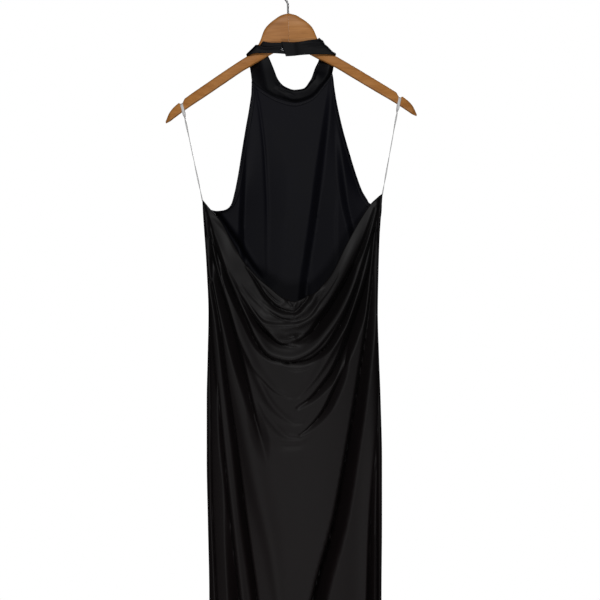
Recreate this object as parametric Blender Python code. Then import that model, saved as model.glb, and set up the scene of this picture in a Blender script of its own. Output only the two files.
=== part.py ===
"""A halter-neck maxi dress with a low cowl back, hung on a wooden hanger.

Each cloth piece is a wall worked out from a few tables: one row for each section of the garment
and one row for each fold. Lengths are in millimetres until a mesh is made. The origin is the
inside top of the hanger's hook, +Z is up, and the back of the dress faces -Y.
"""

from collections import namedtuple
import math

import bpy
import bmesh
import numpy as np

MM = 0.001

# --- driving sizes -------------------------------------------------------------------------
CLOTH = 1.8  # wall of every cloth piece
SEAM_GAP = 0.55  # between two cloth pieces where they are sewn
TOUCH_GAP = 0.3  # between a piece and what carries it
HEM = -1580.0  # height of the hem below the hook
TILT = math.radians(1.66)  # the hanger leans this much, its -X end lower

HANGER_HALF = 222.5  # half the hanger's length
HANGER_THICK = 14.0
HANGER_BOW = 24.0  # how far the tips curve towards the front of the dress
NOTCH_AT = 193.0
NOTCH_DEEP = 6.0
NOTCH_HALF = 6.0
SECTION_POWER = 0.55  # squares the hanger's section off: flat faces and round edges
SECTION_SIDES = 12
SHOULDER_END = 80.0  # the hanger's dome and shoulders end here, and its straight arms start
TIP_THIN, TIP_LENGTH = 0.35, 12.0  # share of the thickness that the tips taper to, and over what length

TAPE = 0.9  # thickness of a hanger loop
TAPE_ON_ARM = 5.0  # its width where it lies in the notch
TAPE_BELOW = 2.2  # its width where it hangs, narrowed by its own twist
TAPE_PARTING, TAPE_LIFT = 0.81, 0.6  # how far each end of the tape lies off a seam, and above it
EDGE_WIDTH = 0.6  # share of its full width that the tape has at the arm's lower edge
# A loop's middle line down one face of the arm: how far inwards of the notch, how deep under the
# face of the tape, at which share of the arm's height, and how far above that.
LoopRow = namedtuple("LoopRow", "inwards under share above")
LOOP_ROWS = [
    LoopRow(3.0, 0.0, 0.0, -2.0),
    LoopRow(2.0, 0.0, 0.0, 3.0),
    LoopRow(1.0, 0.0, 0.5, 0.0),
    LoopRow(0.0, 0.0, 1.0, -4.5),
    LoopRow(0.0, 1.4, 1.0, -1.4),
    LoopRow(0.0, 4.2, 1.0, 0.0),
]
HANG_SHARES = (0.0, 0.03, 0.3, 0.6, 0.85)  # of the way from the seam to the arm, a point at each

HOOK_WIRE = 3.8
HOOK_RADIUS = 21.0  # of the hook's centre line
HOOK_START, HOOK_END = math.radians(216.0), math.radians(-38.0)  # where its round part begins and ends
STEM_TOP = -55.0  # height at which the hook's stem starts to bend
STEM_LEAN = 0.8  # share of its foot's offset to the side that the stem still has there
BEND_LOW, BEND_HIGH = 10.0, 9.0  # handles of the curve between the stem and the round part

# The hanger's outline: how far from its middle, and its top and bottom edge there.
HangerRow = namedtuple("HangerRow", "out top bottom")
HANGER_ROWS = [
    HangerRow(0.0, -69.5, -132.0),
    HangerRow(12.0, -72.5, -133.0),
    HangerRow(24.0, -79.5, -137.0),
    HangerRow(35.0, -88.0, -142.5),
    HangerRow(43.0, -97.5, -147.0),
    HangerRow(51.0, -117.0, -151.5),
    HangerRow(60.0, -131.5, -155.8),
    HangerRow(70.0, -140.5, -161.5),
    HangerRow(80.0, -146.0, -166.5),
    HangerRow(106.0, -161.5, -182.5),
    HangerRow(148.0, -187.5, -208.5),
    HangerRow(185.0, -210.8, -230.8),
    HangerRow(206.0, -225.5, -244.8),
    HangerRow(216.0, -236.5, -251.5),
    HangerRow(HANGER_HALF, -250.0, -254.5),
]

# The neck band, from its left end round the front to its right end: its upper and its lower edge.
BandRow = namedtuple("BandRow", "up_x up_y up_z low_x low_y low_z")
BAND_ROWS = [
    BandRow(4.0, -10.4, -122.5, 5.0, -10.4, -143.0),
    BandRow(-26.0, -10.4, -122.5, -27.0, -10.4, -141.0),
    BandRow(-41.0, -10.5, -120.0, -52.0, -10.5, -141.0),
    BandRow(-47.0, -7.0, -118.5, -67.5, -8.0, -143.5),
    BandRow(-48.8, 1.0, -115.3, -71.5, 1.5, -142.0),
    BandRow(-47.0, 10.0, -119.5, -70.0, 11.5, -146.5),
    BandRow(-40.0, 13.0, -132.0, -66.5, 14.0, -160.0),
    BandRow(-31.7, 13.5, -147.0, -64.0, 14.5, -174.0),
    BandRow(-24.0, 14.0, -165.0, -62.6, 15.0, -185.0),
    BandRow(-15.9, 15.0, -184.4, -42.0, 16.0, -203.5),
    BandRow(-3.5, 16.0, -197.0, -14.0, 17.0, -218.0),
    BandRow(13.0, 16.5, -203.0, 15.0, 17.5, -224.6),
    BandRow(29.3, 16.0, -200.5, 43.0, 17.0, -216.5),
    BandRow(41.8, 15.0, -184.4, 64.0, 16.0, -195.0),
    BandRow(49.5, 14.5, -165.0, 80.0, 15.0, -171.0),
    BandRow(56.4, 14.0, -149.0, 82.5, 14.5, -158.0),
    BandRow(58.0, 13.0, -131.0, 84.5, 13.5, -149.0),
    BandRow(57.0, 10.5, -117.0, 85.5, 12.0, -145.0),
    BandRow(56.3, 1.0, -112.5, 86.0, 2.5, -140.5),
    BandRow(54.5, -7.0, -115.5, 83.0, -7.5, -143.0),
    BandRow(40.0, -10.5, -118.0, 54.0, -10.5, -143.0),
    BandRow(20.0, -13.0, -121.5, 26.0, -12.6, -144.5),
    BandRow(8.0, -15.4, -122.5, 12.0, -15.4, -146.5),
    BandRow(-10.0, -15.7, -121.8, -2.0, -15.8, -147.3),
]
FASTENER_WIRE = 0.7  # of the neck's hook and eye
FASTENER_X, FASTENER_Z = -10.0, -134.0  # where the hook holds the eye
FASTENER_TILT = math.radians(25.0)  # the hook points up to the left by this much
BAND_UNDER_Y = -10.4  # middle of the band's wall at its left end, which lies under the right one
BAND_SEAM_START, BAND_SEAM_END = 8, 14  # rows between which the front is sewn to the lower edge

# Sections of the dress: the two sides, and how far the back and the front stand out between them.
SectionRow = namedtuple("SectionRow", "height left right back front")
SECTION_ROWS = [
    SectionRow(HEM, -140.0, 171.0, 40.0, 26.0),
    SectionRow(-1340.0, -137.5, 168.0, 37.0, 25.0),
    SectionRow(-1104.0, -136.5, 166.0, 37.0, 24.0),
    SectionRow(-963.0, -139.0, 167.0, 38.0, 24.0),
    SectionRow(-857.0, -141.0, 167.0, 40.0, 24.0),
    SectionRow(-751.0, -141.0, 164.5, 42.0, 24.0),
    SectionRow(-681.0, -139.5, 162.0, 42.0, 24.0),
    SectionRow(-600.0, -138.0, 159.5, 38.0, 23.0),
    SectionRow(-520.0, -141.0, 161.0, 32.0, 21.0),
    SectionRow(-460.0, -145.0, 163.0, 26.0, 19.0),
    SectionRow(-416.0, -148.0, 166.0, 20.0, 17.0),
    SectionRow(-380.0, -149.5, 168.5, 16.0, 16.0),
]

# The front from the neck seam down to the side seams' tops: where each row of it ends and its middle.
# rise says how near its ends a row turns up or down to them.
FrontRow = namedtuple("FrontRow", "left_x left_z middle_z right_x right_z rise")
FRONT_ROWS = [
    FrontRow(-63.5, -210.0, -246.0, 83.0, -196.0, 2.0),
    FrontRow(-68.0, -240.0, -268.0, 87.5, -224.0, 2.2),
    FrontRow(-74.5, -278.0, -297.0, 98.0, -272.0, 2.5),
    FrontRow(-81.0, -316.0, -328.0, 109.5, -313.0, 3.0),
    FrontRow(-87.0, -354.0, -359.0, 121.5, -353.0, 4.0),
    FrontRow(-93.5, -388.0, -387.0, 132.5, -383.0, 6.0),
    FrontRow(-99.5, -408.0, -404.0, 140.0, -395.5, 6.0),
    FrontRow(-110.0, -416.5, -414.0, 146.5, -404.0, 6.0),
    FrontRow(-125.0, -418.0, -423.0, 152.0, -406.0, 8.0),
    FrontRow(-138.0, -414.0, -432.0, 158.5, -397.5, 10.0),
    FrontRow(-148.3, -400.0, -442.0, 167.0, -389.0, 12.0),
]

# The cowl's top edge, from the top of one side seam to the top of the other.
EdgeRow = namedtuple("EdgeRow", "x height")
COWL_EDGE = [
    EdgeRow(-149.0, -400.0),
    EdgeRow(-138.0, -414.0),
    EdgeRow(-118.0, -438.0),
    EdgeRow(-98.0, -475.0),
    EdgeRow(-74.0, -516.0),
    EdgeRow(-39.0, -551.0),
    EdgeRow(9.0, -580.0),
    EdgeRow(43.0, -568.0),
    EdgeRow(76.0, -536.0),
    EdgeRow(107.0, -478.0),
    EdgeRow(134.0, -430.0),
    EdgeRow(149.0, -407.0),
    EdgeRow(168.0, -389.0),
]

# Folds that hang from side to side in the cowl: how far each lies below the top edge at five places
# across, how far it stands out, how softly it falls away above and below, and where it dies out.
CowlFold = namedtuple("CowlFold", "far_left left low right far_right out above below start end")
FOLD_STATIONS = (-120.0, -70.0, 7.0, 70.0, 130.0)
COWL_FOLDS = [
    CowlFold(4.0, 6.0, 14.0, 12.0, 6.0, -3.5, 5.0, 5.0, -70.0, 75.0),
    CowlFold(39.0, 58.0, 38.0, 25.0, 18.0, 12.0, 13.0, 12.0, -150.0, 165.0),
    CowlFold(50.0, 67.0, 71.0, 57.0, 38.0, -7.0, 10.0, 9.0, -140.0, 165.0),
    CowlFold(65.0, 87.0, 91.0, 88.0, 60.0, 11.0, 12.0, 9.0, -155.0, 175.0),
    CowlFold(80.0, 112.0, 107.0, 121.0, 96.0, -5.0, 10.0, 9.0, -110.0, 175.0),
    CowlFold(90.0, 145.0, 168.0, 176.0, 130.0, 11.0, 22.0, 12.0, -160.0, 130.0),
    CowlFold(102.0, 160.0, 184.0, 194.0, 150.0, -5.0, 10.0, 8.0, -120.0, 115.0),
    CowlFold(120.0, 180.0, 206.0, 210.0, 170.0, 7.0, 12.0, 9.0, -100.0, 125.0),
    CowlFold(135.0, 200.0, 226.0, 226.0, 190.0, -4.0, 9.0, 8.0, -60.0, 130.0),
    CowlFold(150.0, 214.0, 237.0, 245.0, 210.0, 5.0, 11.0, 10.0, -80.0, 130.0),
    CowlFold(165.0, 236.0, 262.0, 270.0, 235.0, -2.5, 14.0, 14.0, -70.0, 125.0),
]

# Folds that run down the skirt: where each lies at five heights, how far it stands out of the
# back (or the front, below), how wide it is, and the heights between which it shows.
LongFold = namedtuple("LongFold", "x500 x700 x900 x1100 xhem out wide top bottom")
FOLD_HEIGHTS = (-500.0, -700.0, -900.0, -1100.0, HEM)
BACK_FOLDS = [
    LongFold(-141.0, -134.0, -130.0, -120.0, -108.0, -6.0, 5.0, -470.0, HEM),
    LongFold(-130.0, -125.0, -119.0, -106.0, -92.0, 7.0, 7.0, -520.0, HEM),
    LongFold(-120.0, -110.0, -107.0, -94.0, -76.0, -5.0, 8.0, -600.0, HEM),
    LongFold(-122.0, -120.0, -100.0, -77.0, -50.0, 4.0, 7.0, -800.0, HEM),
    LongFold(-118.0, -104.0, -83.0, -54.0, -22.0, -7.0, 8.0, -640.0, HEM),
    LongFold(-100.0, -84.0, -50.0, -12.0, 14.0, 7.0, 22.0, -700.0, HEM),
    LongFold(-100.0, -88.0, -15.0, 20.0, 40.0, -5.0, 14.0, -700.0, -940.0),
    LongFold(155.0, 134.0, 101.0, 58.0, 9.0, -20.0, 12.0, -560.0, HEM),
    LongFold(158.0, 148.0, 133.0, 111.0, 90.0, 8.0, 14.0, -560.0, HEM),
    LongFold(161.0, 156.0, 150.0, 144.0, 132.0, -7.0, 6.0, -560.0, HEM),
    LongFold(163.0, 161.0, 159.0, 154.0, 148.0, 4.0, 6.0, -640.0, HEM),
]
FRONT_FOLDS = [
    LongFold(-120.0, -116.0, -110.0, -102.0, -90.0, 7.0, 13.0, -470.0, HEM),
    LongFold(-60.0, -72.0, -66.0, -56.0, -44.0, -7.0, 15.0, -560.0, HEM),
    LongFold(-34.0, -30.0, -18.0, -6.0, 4.0, 6.0, 17.0, -230.0, HEM),
    LongFold(30.0, 34.0, 42.0, 52.0, 60.0, -8.0, 14.0, -600.0, HEM),
    LongFold(28.0, 60.0, 84.0, 96.0, 104.0, 9.0, 15.0, -240.0, HEM),
    LongFold(128.0, 124.0, 130.0, 134.0, 138.0, -4.0, 10.0, -520.0, HEM),
]
# The same kind of fold on the bodice, with its own heights: seen from behind, each is a trough.
BODICE_HEIGHTS = (-200.0, -270.0, -340.0, -420.0, -540.0)
BodiceFold = namedtuple("BodiceFold", "x200 x270 x340 x420 x540 out wide top bottom")
BODICE_FOLDS = [
    BodiceFold(-55.0, -43.0, -38.0, -35.0, -34.0, 4.0, 5.0, -205.0, -560.0),
    BodiceFold(-74.0, -77.0, -79.0, -80.0, -80.0, 4.5, 6.0, -290.0, -480.0),
    BodiceFold(71.0, 63.0, 52.0, 38.0, 20.0, 5.0, 8.0, -215.0, -570.0),
    BodiceFold(84.0, 88.0, 96.0, 108.0, 122.0, 3.5, 6.0, -250.0, -460.0),
]
FOLD_FADE = 60.0  # length over which a long fold grows to its full depth
COWL_FADE = 30.0  # the same for a fold of the cowl
SLOPE_STEP = 2.0  # each way, for the slope of a cowl fold

BACK_COLUMNS = 50
COWL_ROWS = 25
COWL_DEEP = 262.0  # how far below the top edge the close rows of the back reach
SKIRT_ROWS = 16
SKIRT_SPREAD = 1.15  # the rows lie further apart towards the hem by this power
SIDE_CROWDING = 0.16  # near the ears the back's rows start this much closer than in the middle
SIDE_SPREAD = 2.6  # power by which they catch up again
SIDE_WEIGHT = 1.6  # power by which that grows from the middle to the sides
FRONT_COLUMNS = 26
BAND_STRIPS = 3
FRONT_SKIRT_ROWS = 20
FRONT_SPREAD = 1.2
ROUNDNESS = 0.8  # power of the cosine that a panel's depth follows from side to side
EAR_BOTTOM = -430.0  # above this the two layers of a side seam's top part a little
EAR_PARTING = 0.8
EAR_FADE = 30.0  # length over which they part
SEAM_CALM = 8  # power by which folds die out towards the side seams
BODICE_DEPTH = 17.0  # how far in front of the hook the flat bodice hangs
BODICE_END = -310.0  # below this the bodice turns round into the skirt
EAR_ROW_MIDDLE = FRONT_ROWS[-1].middle_z
LIP_TURN = 3.2  # radius of the soft roll along the cowl's top edge
LIP_CALM = 6  # power by which it dies out towards the ears
LIP_ANGLES = (math.radians(80.0), math.radians(35.0))  # where its rows lie, the highest first


def smooth_curve(places, values):
    """A function that passes through the points and doesn't overshoot between them."""
    places, values = np.array(places, float), np.array(values, float)
    steps = np.diff(places)
    rises = np.diff(values) / steps
    slopes = np.concatenate([rises[:1], np.zeros(len(rises) - 1), rises[-1:]])
    before, after = rises[:-1], rises[1:]
    same = before * after > 0
    slopes[1:-1][same] = 2 * before[same] * after[same] / (before[same] + after[same])

    def value_at(place):
        place = np.clip(place, places[0], places[-1])
        i = np.clip(np.searchsorted(places, place, side="right") - 1, 0, len(steps) - 1)
        t = (place - places[i]) / steps[i]
        start = values[i] * (1 + 2 * t) * (1 - t) ** 2 + steps[i] * slopes[i] * t * (1 - t) ** 2
        end = values[i + 1] * (3 - 2 * t) * t**2 + steps[i] * slopes[i + 1] * (t - 1) * t**2
        return start + end

    return value_at


def soft_step(value):
    value = np.clip(value, 0.0, 1.0)
    return value * value * (3 - 2 * value)


def column_of(rows, name):
    return [getattr(row, name) for row in rows]


def section_curve(name):
    return smooth_curve(column_of(SECTION_ROWS, "height"), column_of(SECTION_ROWS, name))


side_left, side_right = section_curve("left"), section_curve("right")
back_depth, front_depth = section_curve("back"), section_curve("front")
cowl_edge = smooth_curve(column_of(COWL_EDGE, "x"), column_of(COWL_EDGE, "height"))


def cowl_folds_at(x, z):
    """How far the cowl's folds stand out at each point."""
    below_edge = cowl_edge(x) - z
    total = np.zeros_like(x)
    for fold in COWL_FOLDS:
        drop = smooth_curve(FOLD_STATIONS, fold[:5])
        ahead = cowl_edge(x + SLOPE_STEP) - drop(x + SLOPE_STEP)
        slope = (ahead - cowl_edge(x - SLOPE_STEP) + drop(x - SLOPE_STEP)) / (2 * SLOPE_STEP)
        off = (below_edge - drop(x)) / np.sqrt(1 + slope**2)
        width = np.where(off < 0, fold.above, fold.below)
        shown = soft_step((x - fold.start) / COWL_FADE) * soft_step((fold.end - x) / COWL_FADE)
        total += fold.out * shown * np.exp(-((off / width) ** 2))
    return total


def long_folds_at(folds, heights, x, z):
    total = np.zeros_like(x)
    for fold in folds:
        line = smooth_curve(heights[::-1], fold[:5][::-1])
        off = (x - line(z)) / fold.wide
        shown = soft_step((fold.top - z) / FOLD_FADE) * soft_step((z - fold.bottom) / FOLD_FADE + 1.0)
        total += fold.out * shown * np.exp(-(off**2))
    return total


def columns_across(columns):
    return np.linspace(-1.0, 1.0, columns + 1)


def tube_points(across, z, depth):
    """Where a panel's points lie across and how far they stand out, as it goes round from one
    side seam, at across = -1, to the other at 1. The last column has the same x as the one
    before it, so that the wall meets the seam square."""
    limit = across[-2]
    reach = np.clip(across, -limit, limit) / limit
    middle = (side_left(z) + side_right(z)) / 2
    half = (side_right(z) - side_left(z)) / 2
    x = middle + half * np.sin(reach * math.pi / 2)
    parted = EAR_PARTING * soft_step((z - EAR_BOTTOM) / EAR_FADE)
    stand = depth(z) * np.cos(across * math.pi / 2) ** ROUNDNESS + SEAM_GAP / 2 + parted
    return x, stand


def across_of(x, z):
    """How far x is from the middle of the dress, as a share of its half width."""
    left, right = side_left(z), side_right(z)
    return (2 * x - left - right) / (right - left)


def calm_near_seams(across):
    return 1 - np.abs(across) ** SEAM_CALM


def back_points():
    """Rows from the cowl's top edge to the hem. Near the top the rows hang in the cowl's own curve."""
    across = columns_across(BACK_COLUMNS)
    whole = min(column_of(COWL_EDGE, "height")) - HEM
    close_rows = np.linspace(0.0, COWL_DEEP, COWL_ROWS, endpoint=False)
    far_rows = COWL_DEEP + (whole - COWL_DEEP) * np.linspace(0, 1, SKIRT_ROWS) ** SKIRT_SPREAD
    left_ear, right_ear = COWL_EDGE[0].x, COWL_EDGE[-1].x
    edge_x = (left_ear + right_ear) / 2 + (right_ear - left_ear) / 2 * np.sin(across * math.pi / 2)
    top = cowl_edge(edge_x)
    side_drop = top - HEM
    rows = []
    for low in np.concatenate([close_rows, far_rows]):
        share = low / whole
        at_side = SIDE_CROWDING * low + (side_drop - SIDE_CROWDING * whole) * share**SIDE_SPREAD
        weight = np.abs(across) ** SIDE_WEIGHT
        straight = side_drop * share
        mixed = low * (1 - weight) + at_side * weight
        settle = soft_step((low - COWL_DEEP) / (whole - COWL_DEEP))
        z = top - (mixed * (1 - settle) + straight * settle)
        x, stand = tube_points(across, z, back_depth)
        out = cowl_folds_at(x, z) + long_folds_at(BACK_FOLDS, FOLD_HEIGHTS, x, z)
        y = -stand - out * calm_near_seams(across)
        rows.append(np.stack([x, y, z], axis=1))
    turn = LIP_TURN * (1 - np.abs(across) ** LIP_CALM)
    lip = []
    for angle in LIP_ANGLES:
        inward, upward = turn * (1 - math.cos(angle)), turn * math.sin(angle)
        lip.append(rows[0] + np.stack([np.zeros_like(turn), inward, upward], axis=1))
    return np.array(lip + rows)


def band_edges(places):
    """Upper and lower edge of the neck band at these places, counted in rows of its table."""
    numbers = range(len(BAND_ROWS))
    edges = []
    for end in ("up", "low"):
        edges.append(
            np.stack(
                [smooth_curve(numbers, column_of(BAND_ROWS, f"{end}_{axis}"))(places) for axis in "xyz"],
                axis=1,
            )
        )
    return edges


def band_points():
    """Rows of the neck band from its upper to its lower edge."""
    last = len(BAND_ROWS) - 1
    upper, lower = band_edges(np.linspace(0, last, 2 * last + 1))
    return np.array([upper + (lower - upper) * share for share in np.linspace(0, 1, BAND_STRIPS + 1)])


def front_points():
    """Rows from the neck seam, past the armholes and the tops of the side seams, to the hem."""
    across = columns_across(FRONT_COLUMNS)
    share = (across + 1) / 2
    upper, lower = band_edges(BAND_SEAM_START + (BAND_SEAM_END - BAND_SEAM_START) * share)
    down_the_band = (lower - upper) / np.linalg.norm(lower - upper, axis=1)[:, None]
    rows = [lower + down_the_band * SEAM_GAP]
    for row in FRONT_ROWS:
        end_z = np.where(across < 0, row.left_z, row.right_z)
        z = row.middle_z + (end_z - row.middle_z) * np.abs(across) ** row.rise
        # The flat bodice becomes a round tube on its way down to the side seams.
        tube_x, stand = tube_points(across, z, front_depth)
        roundness = soft_step((BODICE_END - row.middle_z) / (BODICE_END - EAR_ROW_MIDDLE))
        spread = across + (across_of(tube_x, z) - across) * roundness
        middle, half = (row.left_x + row.right_x) / 2, (row.right_x - row.left_x) / 2
        y = BODICE_DEPTH + (stand - BODICE_DEPTH) * roundness
        rows.append(np.stack([middle + half * spread, y, z], axis=1))
    last_z = rows[-1][:, 2]
    for number in range(1, FRONT_SKIRT_ROWS + 1):
        z = last_z + (HEM - last_z) * (number / FRONT_SKIRT_ROWS) ** FRONT_SPREAD
        x, stand = tube_points(across, z, front_depth)
        rows.append(np.stack([x, stand, z], axis=1))
    for row in rows[1:]:
        x, _, z = row.T
        out = long_folds_at(BODICE_FOLDS, BODICE_HEIGHTS, x, z)
        out += long_folds_at(FRONT_FOLDS, FOLD_HEIGHTS, x, z)
        row[:, 1] += out * calm_near_seams(across)
    return np.array(rows)


def sheet_mesh(name, grid):
    """A mesh of quads from rows of points in millimetres."""
    rows, columns = grid.shape[:2]
    mesh = bpy.data.meshes.new(name)
    corners = [tuple(point * MM) for point in grid.reshape(-1, 3)]
    faces = []
    for r in range(rows - 1):
        for c in range(columns - 1):
            first = r * columns + c
            faces.append((first, first + columns, first + columns + 1, first + 1))
    mesh.from_pydata(corners, [], faces)
    mesh.update()
    return mesh


def plain_material(name, colour, roughness, metallic=0.0):
    material = bpy.data.materials.new(name)
    material.use_nodes = True
    shader = material.node_tree.nodes["Principled BSDF"]
    shader.inputs["Base Color"].default_value = (*colour, 1.0)
    shader.inputs["Roughness"].default_value = roughness
    shader.inputs["Metallic"].default_value = metallic
    return material


def add_object(name, mesh, material):
    obj = bpy.data.objects.new(name, mesh)
    bpy.context.scene.collection.objects.link(obj)
    mesh.materials.append(material)
    mesh.shade_smooth()
    return obj


def add_cloth(name, grid, material):
    """A cloth wall round the surface through the grid's points."""
    obj = add_object(name, sheet_mesh(name, grid), material)
    wall = obj.modifiers.new("wall", "SOLIDIFY")
    wall.thickness = CLOTH * MM
    wall.offset = 0.0
    return obj


def hanger_place(out, y, z):
    """A point of the upright hanger, turned to the lean it hangs at."""
    return (
        (out * math.cos(TILT) - z * math.sin(TILT)) * MM,
        y * MM,
        (out * math.sin(TILT) + z * math.cos(TILT)) * MM,
    )


hanger_top = smooth_curve(column_of(HANGER_ROWS, "out"), column_of(HANGER_ROWS, "top"))
hanger_bottom = smooth_curve(column_of(HANGER_ROWS, "out"), column_of(HANGER_ROWS, "bottom"))


def hanger_bow(out):
    return HANGER_BOW * (out / HANGER_HALF) ** 2


def notched_top(out):
    """The hanger's top edge with the notch that holds a loop."""
    away = abs(abs(out) - NOTCH_AT) / NOTCH_HALF
    return hanger_top(abs(out)) - NOTCH_DEEP * (1 - soft_step(away))


def hanger_stations():
    """How far out the sections of one arm lie: close at the shoulder, the notch and the tip."""
    shoulder = np.linspace(0.0, SHOULDER_END, 14)
    arm = np.linspace(SHOULDER_END, NOTCH_AT - 2 * NOTCH_HALF, 6)[1:]
    notch = NOTCH_AT + NOTCH_HALF * np.linspace(-1.0, 1.0, 5)
    tip = HANGER_HALF - TIP_LENGTH * np.linspace(1.0, 0.0, 5) ** 1.5
    return np.concatenate([shoulder, arm, notch, tip])


def add_hanger_wood(material):
    """Rounded sections from one tip to the other."""
    outs = hanger_stations()
    outs = np.concatenate([-outs[:0:-1], outs])
    corner_up = math.cos(math.pi / SECTION_SIDES) ** SECTION_POWER  # how high the top corners reach
    mesh = bpy.data.meshes.new("hanger_wood")
    build = bmesh.new()
    rings = []
    for out in outs:
        top, bottom = float(notched_top(out)), float(hanger_bottom(abs(out)))
        middle, half = (top + bottom) / 2, (top - bottom) / 2
        thick = HANGER_THICK / 2 * min(1.0, TIP_THIN + (HANGER_HALF - abs(out)) / TIP_LENGTH)
        ring = []
        for step in range(SECTION_SIDES):
            angle = 2 * math.pi * (step + 0.5) / SECTION_SIDES
            side, up = math.cos(angle), math.sin(angle)
            y = hanger_bow(out) + thick * math.copysign(abs(side) ** SECTION_POWER, side)
            z = middle + half * math.copysign(abs(up) ** SECTION_POWER, up) / corner_up
            ring.append(build.verts.new(hanger_place(out, y, z)))
        rings.append(ring)
    for ring, following in zip(rings, rings[1:]):
        for step in range(SECTION_SIDES):
            after = (step + 1) % SECTION_SIDES
            build.faces.new((ring[step], ring[after], following[after], following[step]))
    build.faces.new(rings[0][::-1])
    build.faces.new(rings[-1])
    bmesh.ops.recalc_face_normals(build, faces=build.faces)
    build.to_mesh(mesh)
    build.free()
    return add_object("hanger_wood", mesh, material)


def add_wire(name, points, thickness, material, resolution=2):
    """A round wire through points in millimetres."""
    curve = bpy.data.curves.new(name, "CURVE")
    curve.dimensions = "3D"
    curve.bevel_depth = thickness / 2 * MM
    curve.bevel_resolution = resolution
    curve.use_fill_caps = True
    spline = curve.splines.new("POLY")
    spline.points.add(len(points) - 1)
    for point, place in zip(spline.points, points):
        point.co = (*[value * MM for value in place], 1.0)
    curve.materials.append(material)
    obj = bpy.data.objects.new(name, curve)
    bpy.context.scene.collection.objects.link(obj)
    return obj


def bezier(first, second, third, last, steps):
    """Points of a cubic curve, its last point left out."""
    points = []
    for step in range(steps):
        t = step / steps
        weights = ((1 - t) ** 3, 3 * t * (1 - t) ** 2, 3 * t * t * (1 - t), t**3)
        corners = (first, second, third, last)
        points.append(tuple(sum(w * c[k] for w, c in zip(weights, corners)) for k in range(3)))
    return points


def add_hanger_hook(material):
    """A straight stem, an S-bend to the side and a round hook whose inside top is the origin."""
    centre_z = HOOK_WIRE / 2 - HOOK_RADIUS
    foot_z = float(hanger_top(0.0)) + TOUCH_GAP
    lean_x = -foot_z * math.sin(TILT)
    enter = (
        HOOK_RADIUS * math.cos(HOOK_START),
        0.0,
        centre_z + HOOK_RADIUS * math.sin(HOOK_START),
    )
    heading = (math.sin(HOOK_START), 0.0, -math.cos(HOOK_START))
    points = [(lean_x, 0.0, foot_z * math.cos(TILT))]
    points += bezier(
        (lean_x * STEM_LEAN, 0.0, STEM_TOP),
        (lean_x * STEM_LEAN, 0.0, STEM_TOP + BEND_LOW),
        tuple(e - BEND_HIGH * h for e, h in zip(enter, heading)),
        enter,
        8,
    )
    turns = 22
    for step in range(turns + 1):
        angle = HOOK_START + (HOOK_END - HOOK_START) * step / turns
        points.append((HOOK_RADIUS * math.cos(angle), 0.0, centre_z + HOOK_RADIUS * math.sin(angle)))
    return add_wire("hanger_hook", points, HOOK_WIRE, material)


def add_hanger_loop(name, side, ear, material):
    """A tape from the top of a side seam, up over the notch in the hanger's arm and back down.
    side is -1 or 1, and ear the top of the seam."""
    arm = side * NOTCH_AT
    bottom = float(hanger_bottom(NOTCH_AT))
    # The tape is wider than the notch's floor, so its edges rest part of the way up.
    edge_rise = float(notched_top(arm + TAPE_ON_ARM / 2) + notched_top(arm - TAPE_ON_ARM / 2)) / 2
    top = edge_rise + 3 * TOUCH_GAP + TAPE / 2
    face = HANGER_THICK / 2 + 2.5 * TOUCH_GAP + TAPE / 2
    places = []
    for towards, rows in ((-1, LOOP_ROWS), (1, LOOP_ROWS[::-1])):
        for row in rows:
            out = arm - side * row.inwards
            y = hanger_bow(out) + towards * (face - row.under)
            z = bottom + (top - bottom) * row.share + row.above
            places.append(np.array(hanger_place(out, y, z)) / MM)
    along_arm = np.array(hanger_place(arm + 1, 0, float(hanger_top(NOTCH_AT + side))))
    along_arm -= np.array(hanger_place(arm - 1, 0, float(hanger_top(NOTCH_AT - side))))
    along_arm /= np.linalg.norm(along_arm)
    ends = [np.array(ear) + (0.0, part * TAPE_PARTING, TAPE_LIFT) for part in (-1, 1)]
    first = [ends[0] + (places[0] - ends[0]) * share for share in HANG_SHARES]
    last = [ends[1] + (places[-1] - ends[1]) * share for share in reversed(HANG_SHARES)]
    path = np.array(first + places + last)
    hung = len(HANG_SHARES)
    on_arm = np.array([0.0] * hung + [1.0] * len(places) + [0.0] * hung)
    on_arm[hung] = on_arm[-hung - 1] = EDGE_WIDTH
    ahead = np.gradient(path, axis=0)
    ahead /= np.linalg.norm(ahead, axis=1)[:, None]
    across = along_arm * on_arm[:, None] + np.array([1.0, 0.0, 0.0]) * (1 - on_arm[:, None])
    across -= ahead * (across * ahead).sum(axis=1)[:, None]
    across /= np.linalg.norm(across, axis=1)[:, None]
    outward = np.cross(across, ahead)
    half_wide = (TAPE_BELOW + (TAPE_ON_ARM - TAPE_BELOW) * on_arm)[:, None] / 2
    corners = [(1, 1), (-1, 1), (-1, -1), (1, -1)]
    rings = [path + w * half_wide * across + t * TAPE / 2 * outward for w, t in corners]
    mesh = bpy.data.meshes.new(name)
    build = bmesh.new()
    sections = [[build.verts.new(ring[i] * MM) for ring in rings] for i in range(len(path))]
    for section, following in zip(sections, sections[1:]):
        for k in range(4):
            after = (k + 1) % 4
            build.faces.new((section[k], section[after], following[after], following[k]))
    build.faces.new(sections[0][::-1])
    build.faces.new(sections[-1])
    bmesh.ops.recalc_face_normals(build, faces=build.faces)
    build.to_mesh(mesh)
    build.free()
    return add_object(name, mesh, material)


def fastener_place(along, y, across):
    """A point of the hook or the eye: along is measured to where the hook bends back."""
    x = FASTENER_X - along * math.cos(FASTENER_TILT) + across * math.sin(FASTENER_TILT)
    return x, y, FASTENER_Z + along * math.sin(FASTENER_TILT) + across * math.cos(FASTENER_TILT)


# Depths of the fastener's layers, from the face of the band's left end outwards.
LAYER = FASTENER_WIRE + TOUCH_GAP
BILL_Y = BAND_UNDER_Y - CLOTH / 2 - TOUCH_GAP - FASTENER_WIRE / 2
BAR_Y, BASE_Y = BILL_Y - LAYER, BILL_Y - 2 * LAYER
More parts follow.
